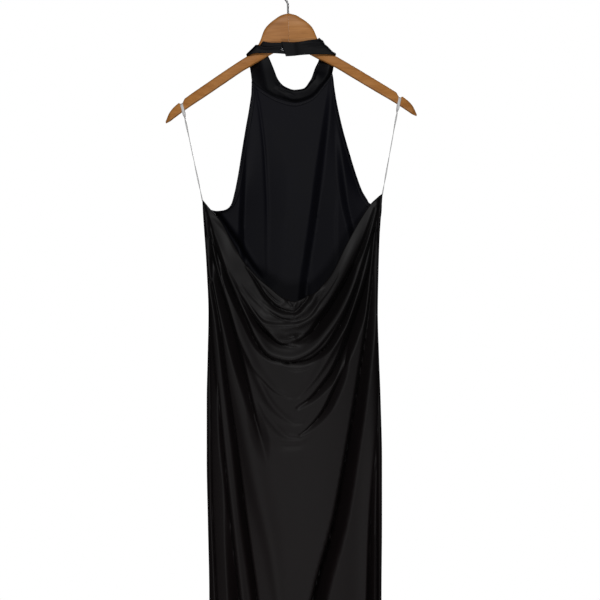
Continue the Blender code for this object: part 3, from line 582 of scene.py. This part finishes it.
HEM_START, HEM_LINES = 0.2, 5  # how far from the border a hem starts, and its lines of points
HEM_WALL, HEM_LIFT = 0.7, 0.95  # its thickness, and how far off the panel's middle it lies
HEM_POINTS = 24  # points of the panel, from its border inwards, that a hem lies along
STITCH, STITCH_GAP, THREAD, THREAD_SIDES = 2.7, 0.8, 0.32, 6
STITCH_NEAR, STITCH_FAR = 4.2, 1.2  # of the two rows from the hem's inner edge
LIFT_INSIDE, LIFT_OUTSIDE = 1.35, 0.55  # of the stitches off the panel, on the hem and outside


def lines_inwards(grid, edge, reach):
    """The panel's points from one of its borders inwards, a line for each place along it."""
    if edge == "top":
        return grid[:reach].transpose(1, 0, 2)
    if edge == "bottom":
        return grid[::-1][:reach].transpose(1, 0, 2)
    return (grid if edge == "left" else grid[:, ::-1])[:, :reach]


def points_inwards(lines, normals, distance, lift):
    """A line of points at a distance from the border, lifted off the panel."""
    found = []
    for line, normal in zip(lines, normals):
        lengths = lengths_along(line)
        facing = places_along(normal, lengths, distance)
        found.append(places_along(line, lengths, distance) + facing * lift)
    return np.array(found)


def hem_strip(name, lines, normals, width, material):
    """The turned edge of a panel, lying on it."""
    distances = np.linspace(HEM_START, width, HEM_LINES)
    grid = np.array([points_inwards(lines, normals, each, HEM_LIFT) for each in distances])
    return cloth_object(name, grid, [material], HEM_WALL)


def resampled(points, step):
    lengths = lengths_along(points)
    return places_along(points, lengths, np.arange(0.0, lengths[-1], step))


def stitches_along(points):
    """Start and end of each stitch of a straight row."""
    starts = resampled(points, STITCH + STITCH_GAP)
    ahead = np.diff(starts, axis=0)
    ahead /= np.linalg.norm(ahead, axis=1)[:, None]
    return [(start, start + run * STITCH) for start, run in zip(starts[:-1], ahead)]


def zigzag_between(first, second):
    """Stitches that cross from one line to the other and back, on the wrong side of a hem."""
    step = STITCH + STITCH_GAP
    first, second = resampled(first, step), resampled(second, step)
    count = min(len(first), len(second)) - 1
    pairs = [(first[i], second[i]) for i in range(count)]
    return pairs + [(second[i], first[i + 1]) for i in range(count)]


def stitch_object(name, stitches, material):
    """Many short threads, each a capsule with pinched ends, as one mesh."""
    sides, stations = THREAD_SIDES, ((0.0, 0.35), (0.18, 1.0), (0.82, 1.0), (1.0, 0.35))
    turn = 2 * math.pi * np.arange(sides) / sides
    points, faces = [], []
    for start, end in stitches:
        run = (end - start) / max(np.linalg.norm(end - start), 1e-6)
        first = np.cross(run, (0.0, 0.0, 1.0) if abs(run[2]) < 0.8 else (1.0, 0.0, 0.0))
        first /= np.linalg.norm(first)
        second = np.cross(run, first)
        base = len(points)
        for share, size in stations:
            middle = start + (end - start) * share
            for angle in turn:
                off = first * math.cos(angle) + second * math.sin(angle)
                points.append(middle + off * size * THREAD / 2)
        for ring in range(len(stations) - 1):
            for side in range(sides):
                a = base + ring * sides + side
                b = base + ring * sides + (side + 1) % sides
                faces.append((a, b, b + sides, a + sides))
        faces.append(tuple(base + side for side in reversed(range(sides))))
        last = base + (len(stations) - 1) * sides
        faces.append(tuple(last + side for side in range(sides)))
    return new_object(name, points, faces, [material])


CAP_SIZE, CAP_DEEP = 0.55, 0.45  # of a wire's radius, at its blunt ends


def wire_object(name, path, radius, material, sides):
    """A round wire through the path's points, with blunt ends."""
    path = np.asarray(path, float)
    ahead = headings(path)
    first = np.cross(ahead, (0.0, 1.0, 0.0))
    first /= np.linalg.norm(first, axis=1)[:, None]
    second = np.cross(ahead, first)
    turn = 2 * math.pi * np.arange(sides) / sides
    rings = [
        place + radius * (np.outer(np.cos(turn), a) + np.outer(np.sin(turn), b))
        for place, a, b in zip(path, first, second)
    ]
    caps = [
        path[end] + (rings[end] - path[end]) * CAP_SIZE + way * ahead[end] * radius * CAP_DEEP
        for end, way in ((0, -1), (-1, 1))
    ]
    rings = [caps[0]] + rings + [caps[1]]
    return new_object(name, np.concatenate(rings), tube_faces(len(rings), sides), [material])


# --- hanger --------------------------------------------------------------------------------
TILT = math.radians(1.66)  # the hanger leans this much, its -X end lower
HANGER_HALF = 222.5
HANGER_THICK = 14.0
HANGER_BOW = 24.0
NOTCH_AT, NOTCH_DEEP, NOTCH_HALF = 193.0, 6.0, 6.0
HangerRow = namedtuple("HangerRow", "out top bottom")
HANGER_ROWS = table(HangerRow, [
    (0, -69.5, -132),
    (12, -72.5, -133),
    (24, -79.5, -137),
    (35, -88, -142.5),
    (43, -97.5, -147),
    (51, -117, -151.5),
    (60, -131.5, -155.8),
    (70, -140.5, -161.5),
    (80, -146, -166.5),
    (106, -161.5, -182.5),
    (148, -187.5, -208.5),
    (185, -210.8, -230.8),
    (206, -225.5, -244.8),
    (216, -236.5, -251.5),
    (HANGER_HALF, -250, -254.5),
])
ARM_SLOPE = math.radians(31.0)  # of the arms and of their grain
ARM_FALL = 0.6  # how far an arm falls for each unit outwards
JOINT_OUTS, JOINT_SHRINK = (0.05, 0.6), 0.985  # rings by the glue joint; the first is smaller
NEAR_NOTCH = 10  # how far to each side of a notch the rings lie close
HANGER_SIDES = 40
TIP_FADE, TIP_THIN = 12.0, 0.35  # how the arms get thinner towards their tips
TIP_CAP, TIP_OUT, TIP_DOWN = 0.5, 0.6, 0.2  # size and place of the tips' blunt ends
FLATNESS = 0.5  # the power that squares a section off
TAPE = 0.9  # its thickness
TAPE_ON_ARM, TAPE_BELOW = 5.0, 2.2  # its width where it lies flat, and where it hangs twisted
TAPE_TWIST = 5.0  # radians
TAPE_OVER, TAPE_BESIDE = 0.5, 0.2  # gaps between the tape and the notch, and the arm's face
LOOP_POINTS = 240
HOOK_WIRE, HOOK_RADIUS = 3.8, 21.0
HOOK_START, HOOK_END = math.radians(216.0), math.radians(-38.0)  # of its round part
STEM_SUNK, STEM_TOP = 4.0, -55.0  # how deep the stem starts in the wood, and where it bends
hanger_top, hanger_bottom = (column_curve(HANGER_ROWS, "out", name) for name in ("top", "bottom"))


def hanger_place(out, y, z):
    """A point of the upright hanger, turned to the lean it hangs at."""
    x = out * math.cos(TILT) - z * math.sin(TILT)
    return np.array((x, y, out * math.sin(TILT) + z * math.cos(TILT)))


def hanger_bow(out):
    return HANGER_BOW * (out / HANGER_HALF) ** 2


def notched_top(out):
    """The hanger's top edge with the notch that holds a loop."""
    away = abs(abs(out) - NOTCH_AT) / NOTCH_HALF
    return hanger_top(abs(out)) - NOTCH_DEEP * (1 - soft_step(away))


def hanger_half(name, side, material):
    """One of the two glued halves: side is -1 or 1."""
    outs = np.concatenate([
        JOINT_OUTS,
        np.linspace(2.0, NOTCH_AT - NEAR_NOTCH, 90),
        np.linspace(NOTCH_AT - NEAR_NOTCH + 1, NOTCH_AT + NEAR_NOTCH - 1, 28),
        np.linspace(NOTCH_AT + NEAR_NOTCH, HANGER_HALF, 24),
    ])
    turn = 2 * math.pi * (np.arange(HANGER_SIDES) + 0.5) / HANGER_SIDES
    wide, high = (np.sign(f(turn)) * np.abs(f(turn)) ** FLATNESS for f in (np.cos, np.sin))
    rings = []
    for out in outs:
        top, bottom = float(notched_top(out)), float(hanger_bottom(out))
        middle, half = (top + bottom) / 2, (top - bottom) / 2
        thick = HANGER_THICK / 2 * min(1.0, TIP_THIN + (HANGER_HALF - out) / TIP_FADE)
        shrink = JOINT_SHRINK if out == JOINT_OUTS[0] else 1.0
        y = hanger_bow(out) + shrink * thick * wide
        z = middle + shrink * half * high
        rings.append([hanger_place(side * out, *place) for place in zip(y, z)])
    tip = np.array(rings[-1])
    centre = tip.mean(axis=0)
    rings.append(centre + (tip - centre) * TIP_CAP + (side * TIP_OUT, 0.0, -TIP_DOWN))
    faces = tube_faces(len(rings), HANGER_SIDES)
    if side < 0:
        faces = [tuple(reversed(face)) for face in faces]
    return new_object(name, np.array(rings).reshape(-1, 3), faces, [material])


def bezier(first, second, third, last, steps):
    """Points of a cubic curve, its last point left out."""
    t = (np.arange(steps) / steps)[:, None]
    first, second, third, last = (np.array(p, float) for p in (first, second, third, last))
    ends = (1 - t) ** 3 * first + t**3 * last
    return ends + 3 * t * (1 - t) ** 2 * second + 3 * t * t * (1 - t) * third


def hook_path():
    """A straight stem out of the wood, an S-bend to the side and the round hook."""
    centre_z = HOOK_WIRE / 2 - HOOK_RADIUS
    foot_z = float(hanger_top(0.0)) - STEM_SUNK
    lean_x = -foot_z * math.sin(TILT)
    enter = HOOK_RADIUS * np.array((math.cos(HOOK_START), 0.0, math.sin(HOOK_START)))
    enter[2] += centre_z
    heading = np.array((math.sin(HOOK_START), 0.0, -math.cos(HOOK_START)))
    foot = np.array((lean_x, 0.0, foot_z))
    bend = np.array((lean_x * 0.8, 0.0, STEM_TOP))
    stem = [foot + (bend - foot) * share for share in np.linspace(0, 1, 6, endpoint=False)]
    rise = bezier(bend, bend + (0.0, 0.0, 10.0), enter - 9.0 * heading, enter, 18)
    angles = np.linspace(HOOK_START, HOOK_END, 60)
    arc = [HOOK_RADIUS * np.array((math.cos(a), 0.0, math.sin(a))) for a in angles]
    return np.concatenate([stem, rise, np.array(arc) + (0.0, 0.0, centre_z)])


def loop_path(side, ear):
    """A tape's middle line from the top of a side seam, up over the notch and back down, with how
    much of it lies on the arm at each point."""
    arm = side * NOTCH_AT
    bottom = float(hanger_bottom(NOTCH_AT))
    top = float(notched_top(arm)) + TAPE_OVER + TAPE / 2
    face = HANGER_THICK / 2 + TAPE_BESIDE + TAPE / 2
    # Down one face of the arm: how far inwards, how far from its middle plane, and how high.
    down_a_face = [
        (3.0, face, bottom - 2.0),
        (2.0, face, bottom + 3.0),
        (1.0, face, (top + bottom) / 2),
        (0.0, face, top - 4.5),
        (0.0, face - 1.4, top - 1.4),
        (0.0, face - 4.2, top),
    ]
    places = []
    for towards, stations in ((-1, down_a_face), (1, down_a_face[::-1])):
        for inwards, off, z in stations:
            out = arm - side * inwards
            places.append(hanger_place(out, hanger_bow(out) + towards * off, z))
    ends = [np.array(ear) + (0.0, part * TAPE * 0.8, 0.2) for part in (-1, 1)]
    shares = (0.0, 0.25, 0.5, 0.75, 0.92)
    first = [ends[0] + (places[0] - ends[0]) * share for share in shares]
    last = [ends[1] + (places[-1] - ends[1]) * share for share in reversed(shares)]
    rough = np.array(first + places + last)
    on_arm = np.array([0.0] * 4 + [0.3] + [1.0] * len(places) + [0.3] + [0.0] * 4)
    lengths = lengths_along(rough)
    fine = np.linspace(0.0, lengths[-1], LOOP_POINTS)
    return smooth_line(rough, LOOP_POINTS), smooth_curve(lengths, on_arm)(fine)


def loop_object(name, side, ear, material):
    """A flat satin tape, twisted where it hangs."""
    path, on_arm = loop_path(side, ear)
    ahead = headings(path)
    along_arm = hanger_place(side * 100, 0, 0) - hanger_place(side * 99, 0, ARM_FALL)
    twist = (1 - on_arm) * TAPE_TWIST * np.sin(np.linspace(0, 2 * math.pi, len(path)))
    across = along_arm * on_arm[:, None] + np.array([1.0, 0.0, 0.0]) * (1 - on_arm[:, None])
    across -= ahead * (across * ahead).sum(axis=1)[:, None]
    across /= np.linalg.norm(across, axis=1)[:, None]
    outward = np.cross(across, ahead)
    turned_across = across * np.cos(twist)[:, None] + outward * np.sin(twist)[:, None]
    turned_outward = np.cross(turned_across, ahead)
    half = (TAPE_BELOW + (TAPE_ON_ARM - TAPE_BELOW) * on_arm)[:, None] / 2
    upper = ((1, 0.35), (0.8, 1), (-0.8, 1), (-1, 0.35))
    corners = upper + tuple((-w, -t) for w, t in upper)
    rings = [path + w * half * turned_across + t * TAPE * 0.4 * turned_outward for w, t in corners]
    points = np.array(rings).transpose(1, 0, 2).reshape(-1, 3)
    return new_object(name, points, tube_faces(len(path), len(corners)), [material])


# --- the neck's hook and eye ---------------------------------------------------------------
FASTENER_WIRE = 0.7
FASTENER_POINTS = 90
FASTENER_X, FASTENER_Z = -10.0, -134.0  # where the hook holds the eye
FASTENER_TILT = math.radians(25.0)  # the hook points up to the left by this much
# Depths of its layers: the hook's bill on the band's left end, the eye's bar, and the hook's base.
BILL_Y, BAR_Y, BASE_Y = -11.95, -12.95, -13.95


def fastener_place(along, y, across):
    """A point of the hook or the eye: along is measured to where the hook bends back."""
    x = FASTENER_X - along * math.cos(FASTENER_TILT) + across * math.sin(FASTENER_TILT)
    return x, y, FASTENER_Z + along * math.sin(FASTENER_TILT) + across * math.cos(FASTENER_TILT)


def there_and_back(profile):
    """A wire along the (along, y, across) points and back on the other side of the middle."""
    there = [fastener_place(along, y, across) for along, y, across in profile]
    back = [fastener_place(along, y, -across) for along, y, across in reversed(profile)]
    return smooth_line(there + back, FASTENER_POINTS)


def neck_hook_path():
    """A doubled wire, sewn under the band's right end and bent back round the eye's bar."""
    half = 1.2
    base = [(-10.0, BASE_Y, half), (0.4, BASE_Y, half), (1.2, BASE_Y + 0.4, half), (1.5, BAR_Y, half)]
    bill = [(1.2, BILL_Y - 0.4, half), (0.4, BILL_Y, half), (-2.4, BILL_Y, 1.0), (-3.2, BILL_Y, 0.5)]
    return there_and_back(base + bill)


def neck_eye_path():
    """A wire bar across the hook, its two feet sewn to the band's left end."""
    return there_and_back([(0.0, BILL_Y, 5.4), (0.0, BILL_Y, 3.8), (0.0, BAR_Y, 2.4)])


# --- materials -----------------------------------------------------------------------------
class Nodes:
    """A material's node tree, with short calls for the nodes used here."""

    def __init__(self, name):
        self.material = bpy.data.materials.new(name)
        self.material.use_nodes = True
        self.tree = self.material.node_tree
        self.shader = self.tree.nodes["Principled BSDF"]
        self.place = self.node("TexCoord").outputs["Object"]

    def fill(self, node, values):
        """Sets each named input to its value, or links it to another node's output."""
        for name, value in values.items():
            socket = node.inputs[name.replace("_", " ")]
            if isinstance(value, bpy.types.NodeSocket):
                self.tree.links.new(value, socket)
            else:
                socket.default_value = value

    def node(self, kind, **values):
        node = self.tree.nodes.new(f"ShaderNode{kind}")
        self.fill(node, values)
        return node

    def set(self, **values):
        """Sets or links the inputs of the material's shader."""
        self.fill(self.shader, values)

    def mapped(self, scale=(1.0, 1.0, 1.0), rotation=(0.0, 0.0, 0.0)):
        """Object coordinates in metres, scaled and turned."""
        node = self.node("Mapping", Vector=self.place, Scale=scale, Rotation=rotation)
        return node.outputs["Vector"]

    def noise(self, vector, scale, detail=2.0, distortion=0.0):
        shape = {"Scale": scale, "Detail": detail, "Distortion": distortion}
        return self.node("TexNoise", Vector=vector, **shape).outputs["Fac"]

    def wave(self, vector, scale, distortion, direction):
        node = self.node("TexWave", Vector=vector, Scale=scale, Distortion=distortion)
        node.bands_direction = direction
        return node.outputs["Fac"]

    def ramp(self, source, *stops):
        """Colours at positions from 0 to 1."""
        node = self.node("ValToRGB", Fac=source)
        while len(node.color_ramp.elements) < len(stops):
            node.color_ramp.elements.new(0.5)
        for element, (position, colour) in zip(node.color_ramp.elements, stops):
            element.position = position
            element.color = (*colour, 1.0)
        return node.outputs["Color"]

    def multiplied(self, factor, first, second):
        """The first colour times the second one, as far as factor says."""
        node = self.node("Mix")
        node.data_type = "RGBA"
        node.blend_type = "MULTIPLY"
        self.fill(node, {"Factor": factor, "A": first, "B": second})
        return node.outputs["Result"]

    def range(self, source, low, high, source_low=0.0, source_high=1.0):
        """The source with its range moved to that from low to high."""
        limits = {"From_Min": source_low, "From_Max": source_high, "To_Min": low, "To_Max": high}
        return self.node("MapRange", Value=source, **limits).outputs["Result"]

    def bump(self, *layers):
        """Bumps from (height, strength, distance in metres), one over the other."""
        normal = None
        for source, strength, distance in layers:
            node = self.node("Bump", Height=source, Strength=strength, Distance=distance)
            if normal is not None:
                self.fill(node, {"Normal": normal})
            normal = node.outputs["Normal"]
        self.set(Normal=normal)


def grey(value):
    return (value, value, value)


COOL_ABOVE, WARM_BELOW = -0.25, -1.0  # heights in metres between which the jersey goes from its neck colour to its hem colour, a painted lightening towards the hem on the outside
JERSEY_UNEVEN = 0.03  # of its roughness, up and down


def jersey_material(name, cool, warm, roughness, gloss, sheen=0.0):
    """Black knitted jersey, cool in colour at the neck and warm at the hem. Where the hem's colour is
    the lighter one, as on the outside, it is painted light that brightens the lower skirt.
    """
    nodes = Nodes(name)
    height = nodes.node("SeparateXYZ", Vector=nodes.place).outputs["Z"]
    # neck colour above, hem colour below; on the outside the hem's is lighter, painted light
    down = nodes.range(height, 0.0, 1.0, COOL_ABOVE, WARM_BELOW)
    tone = nodes.ramp(down, (0.0, cool), (1.0, warm))
    cloudy = nodes.noise(nodes.mapped((1.0, 1.0, 0.6)), 14.0, detail=4.0)
    shade = nodes.ramp(cloudy, (0.3, grey(0.8)), (0.7, grey(1.15)))
    wales = nodes.wave(nodes.mapped((1.0, 1.0, 0.02)), 420.0, 1.2, "X")
    courses = nodes.noise(nodes.mapped((1.0, 1.0, 1.4)), 900.0)
    nodes.bump((wales, 0.25, 0.0001), (courses, 0.3, 0.00012))
    nodes.set(
        Base_Color=nodes.multiplied(1.0, tone, shade),
        Roughness=nodes.range(cloudy, roughness - JERSEY_UNEVEN, roughness + JERSEY_UNEVEN),
        Specular_IOR_Level=gloss,
        Coat_Weight=sheen,
        Coat_Roughness=0.36,
    )
    return nodes.material


def thread_material():
    nodes = Nodes("thread")
    twist = nodes.noise(nodes.mapped(), 2500.0)
    tone = nodes.ramp(twist, (0.3, (0.006, 0.006, 0.007)), (0.7, (0.016, 0.016, 0.018)))
    nodes.bump((twist, 0.4, 0.0001))
    nodes.set(Base_Color=tone, Roughness=0.5)
    return nodes.material


def wood_material(name, side):
    """Varnished beech with its grain along the arm."""
    nodes = Nodes(name)
    lean = (0.0, side * -ARM_SLOPE, 0.0)
    grain = nodes.noise(nodes.mapped((0.12, 1.0, 1.0), lean), 95.0, detail=5.0, distortion=0.8)
    broad = nodes.noise(nodes.mapped((0.35, 1.0, 1.0), lean), 22.0, detail=3.0)
    fibres = nodes.noise(nodes.mapped((0.03, 1.0, 1.0), lean), 700.0, detail=3.0)
    dark, middle, light = (0.5, 0.205, 0.045), (0.64, 0.28, 0.073), (0.73, 0.345, 0.107)
    tone = nodes.ramp(grain, (0.25, dark), (0.5, middle), (0.75, light))
    patches = nodes.ramp(broad, (0.3, (0.86, 0.8, 0.8)), (0.7, grey(1.1)))
    fine = nodes.ramp(fibres, (0.35, (0.82, 0.78, 0.74)), (0.65, (1.06, 1.05, 1.04)))
    colour = nodes.multiplied(0.6, nodes.multiplied(1.0, tone, patches), fine)
    nodes.bump((fibres, 0.25, 0.0002), (grain, 0.15, 0.0004))
    nodes.set(Base_Color=colour, Roughness=nodes.range(grain, 0.5, 0.36), Specular_IOR_Level=0.25)
    return nodes.material


def wire_material(name, worn, clean):
    nodes = Nodes(name)
    drawn = nodes.noise(nodes.mapped(), 900.0, detail=3.0)
    tone = nodes.ramp(drawn, (0.3, worn), (0.7, clean))
    nodes.bump((drawn, 0.08, 0.0001))
    nodes.set(Base_Color=tone, Roughness=nodes.range(drawn, 0.2, 0.34), Metallic=0.85)
    return nodes.material


def tape_material():
    """White satin tape with a fine cross weave."""
    nodes = Nodes("satin_tape")
    weave = nodes.wave(nodes.mapped(), 700.0, 0.4, "Z")
    tone = nodes.ramp(nodes.noise(nodes.mapped(), 120.0), (0.3, grey(0.78)), (0.7, grey(0.9)))
    nodes.bump((weave, 0.3, 0.0001))
    nodes.set(Base_Color=tone, Roughness=0.45, Sheen_Weight=0.2)
    return nodes.material


# --- pieces --------------------------------------------------------------------------------
def slotted(obj, slot, *nodes):
    """Hides the CAD nodes that the piece stands for. Its finish, slot, is not used."""
    if nodes:
        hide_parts(*nodes)
    return obj


def add_dress():
    # the outside's colours at the neck and the hem: the hem's is lighter, painted light for the lower
    # skirt
    outside = (0.0025, 0.0025, 0.003), (0.0055, 0.0028, 0.0032)
    # the wrong side's colours: darker than the outside, partly its duller knit and partly painted
    # shade inside the dress
    wrong_side_and_painted_shade = (0.0013, 0.0013, 0.0048), (0.0013, 0.0013, 0.003)
    # the neck band's colour: darker than the outside jersey, painted shade
    band_painted_shade = (0.0015, 0.0016, 0.0032)
    jersey = jersey_material("jersey", *outside, 0.6, 0.29, 0.035)
    inside = jersey_material("jersey_inside_painted_shade", *wrong_side_and_painted_shade, 0.69, 0.24)
    doubled = jersey_material("jersey_band_painted_shade", band_painted_shade, band_painted_shade, 0.6, 0.2)
    back_grid, front_grid, band_grid = back_points(), front_points(), band_points()
    back = slotted(cloth_object("dress_back", back_grid, [jersey, inside]), "jersey", "back")
    front = slotted(cloth_object("dress_front", front_grid, [inside, jersey]), "jersey", "front")
    band = cloth_object("dress_neck_band", band_grid, [doubled], BAND_WALL)
    slotted(band, "jersey", "neck_band")
    add_sewing(front_grid, back_grid, inside)


def add_sewing(front_grid, back_grid, cloth):
    """Turned hems and seam allowances with their stitches."""
    front_normals, back_normals = normals_of(front_grid), normals_of(back_grid)
    rows_to_ear = NECK_ROWS + (len(FRONT_ROWS) - 1) * FRONT_ROWS_BETWEEN
    bodice, bodice_normals = front_grid[:rows_to_ear], front_normals[:rows_to_ear]
    stitches = []
    for name, grid, normals, edge, width in (
        ("neck_seam", front_grid, front_normals, "top", 7.0),
        ("armhole_hem_left", bodice, bodice_normals, "left", 9.0),
        ("armhole_hem_right", bodice, bodice_normals, "right", 9.0),
        ("hem_front", front_grid, front_normals, "bottom", 22.0),
        ("hem_back", back_grid, -back_normals, "bottom", 22.0),
    ):
        lines, facing = (lines_inwards(each, edge, HEM_POINTS) for each in (grid, normals))
        slotted(hem_strip(name, lines, facing, width, cloth), "jersey")
        seams = width - STITCH_NEAR, width - STITCH_FAR
        stitches += zigzag_between(*(points_inwards(lines, facing, d, LIFT_INSIDE) for d in seams))
        if name != "neck_seam":
            for distance in seams:
                stitches += stitches_along(points_inwards(lines, -facing, distance, LIFT_OUTSIDE))
    slotted(stitch_object("stitches", stitches, thread_material()), "jersey")


def add_hanger():
    left = hanger_half("hanger_wood_left", -1, wood_material("beech_left", -1))
    right = hanger_half("hanger_wood_right", 1, wood_material("beech_right", 1))
    slotted(left, "wood", "hanger_wood")
    slotted(right, "wood")
    wire = wire_material("plated_wire", (0.72, 0.72, 0.74), (0.85, 0.85, 0.86))
    dull = wire_material("dull_wire", (0.3, 0.3, 0.32), (0.45, 0.45, 0.46))
    black = wire_material("blackened_wire", (0.03, 0.03, 0.033), (0.06, 0.06, 0.065))
    slotted(wire_object("hook_wire", hook_path(), HOOK_WIRE / 2, wire, 24), "wire", "hanger_hook")
    tape = tape_material()
    for name, side, edge in (("left", -1, COWL_EDGE[0]), ("right", 1, COWL_EDGE[-1])):
        loop = loop_object(f"tape_loop_{name}", side, (edge.x, 0.0, edge.height), tape)
        slotted(loop, "tape", f"hanger_loop_{name}")
    hook = wire_object("fastener_hook", neck_hook_path(), FASTENER_WIRE / 2, dull, 12)
    slotted(hook, "wire", "neck_hook")
    eye = wire_object("fastener_eye", neck_eye_path(), FASTENER_WIRE / 2, black, 12)
    slotted(eye, "wire", "neck_eye")


# --- camera and light ----------------------------------------------------------------------
PLANE_DISTANCE = 3.0  # from the camera to the plane of the hanger
VIEW_WIDTH = 1.0578  # of the photograph's frame in that plane
VIEW_CENTRE = (0.0229, -0.5747)  # x and z of its middle
SENSOR = 36.0
FILL = 0.004  # strength of the faint light from all sides
FILL_COLOUR, BACKDROP = (0.9, 0.95, 1.0, 1), (1, 1, 1, 1)
FLOOR_HEIGHT = -1.75
LightRow = namedtuple("LightRow", "name place target size power")
LIGHTS = table(LightRow, [
    ("key", (-0.15, -2.8, 1.2), (0, 0, -0.8), 0.7, 39.0),
    ("low", (0.15, -3.0, -2.3), (0, 0, -1.35), 0.8, 26.0),
    ("far_side", (0.5, 2.6, 0.7), (0, 0, -0.7), 1.6, 40.0),
])


def aim(obj, target):
    obj.rotation_euler = (Vector(target) - obj.location).to_track_quat("-Z", "Y").to_euler()


def add_camera():
    camera = bpy.data.objects.new("camera", bpy.data.cameras.new("camera"))
    bpy.context.scene.collection.objects.link(camera)
    camera.data.sensor_width = SENSOR
    camera.data.lens = SENSOR * PLANE_DISTANCE / VIEW_WIDTH
    camera.location = (VIEW_CENTRE[0], -PLANE_DISTANCE, VIEW_CENTRE[1])
    aim(camera, (VIEW_CENTRE[0], 0.0, VIEW_CENTRE[1]))
    bpy.context.scene.camera = camera


def add_light(row):
    light = bpy.data.lights.new(row.name, "AREA")
    light.size = row.size
    light.energy = row.power
    obj = bpy.data.objects.new(row.name, light)
    bpy.context.scene.collection.objects.link(obj)
    obj.location = row.place
    aim(obj, row.target)


def add_world():
    """A white backdrop for the camera, and a faint cool light for everything else."""
    world = bpy.data.worlds.new("studio")
    bpy.context.scene.world = world
    world.use_nodes = True
    tree = world.node_tree
    tree.nodes.clear()
    output, mix, path = (
        tree.nodes.new(f"ShaderNode{kind}") for kind in ("OutputWorld", "MixShader", "LightPath")
    )
    tree.links.new(path.outputs["Is Camera Ray"], mix.inputs["Fac"])
    tree.links.new(mix.outputs["Shader"], output.inputs["Surface"])
    for socket, colour, strength in ((1, FILL_COLOUR, FILL), (2, BACKDROP, 1.0)):
        background = tree.nodes.new("ShaderNodeBackground")
        background.inputs["Color"].default_value = colour
        background.inputs["Strength"].default_value = strength
        tree.links.new(background.outputs["Background"], mix.inputs[socket])


def add_floor():
    bpy.ops.mesh.primitive_plane_add(size=3.0, location=(0, 0, FLOOR_HEIGHT))
    floor = bpy.context.object
    floor.name = "floor"
    paint = Nodes("pale_floor")
    paint.set(Base_Color=(0.8, 0.8, 0.8, 1), Roughness=0.8)
    floor.data.materials.append(paint.material)


def main():
    add_dress()
    add_hanger()
    add_camera()
    add_world()
    for row in LIGHTS:
        add_light(row)
    add_floor()
    bpy.context.scene.view_settings.view_transform = "Standard"


main()
bpy.context.view_layer.update()
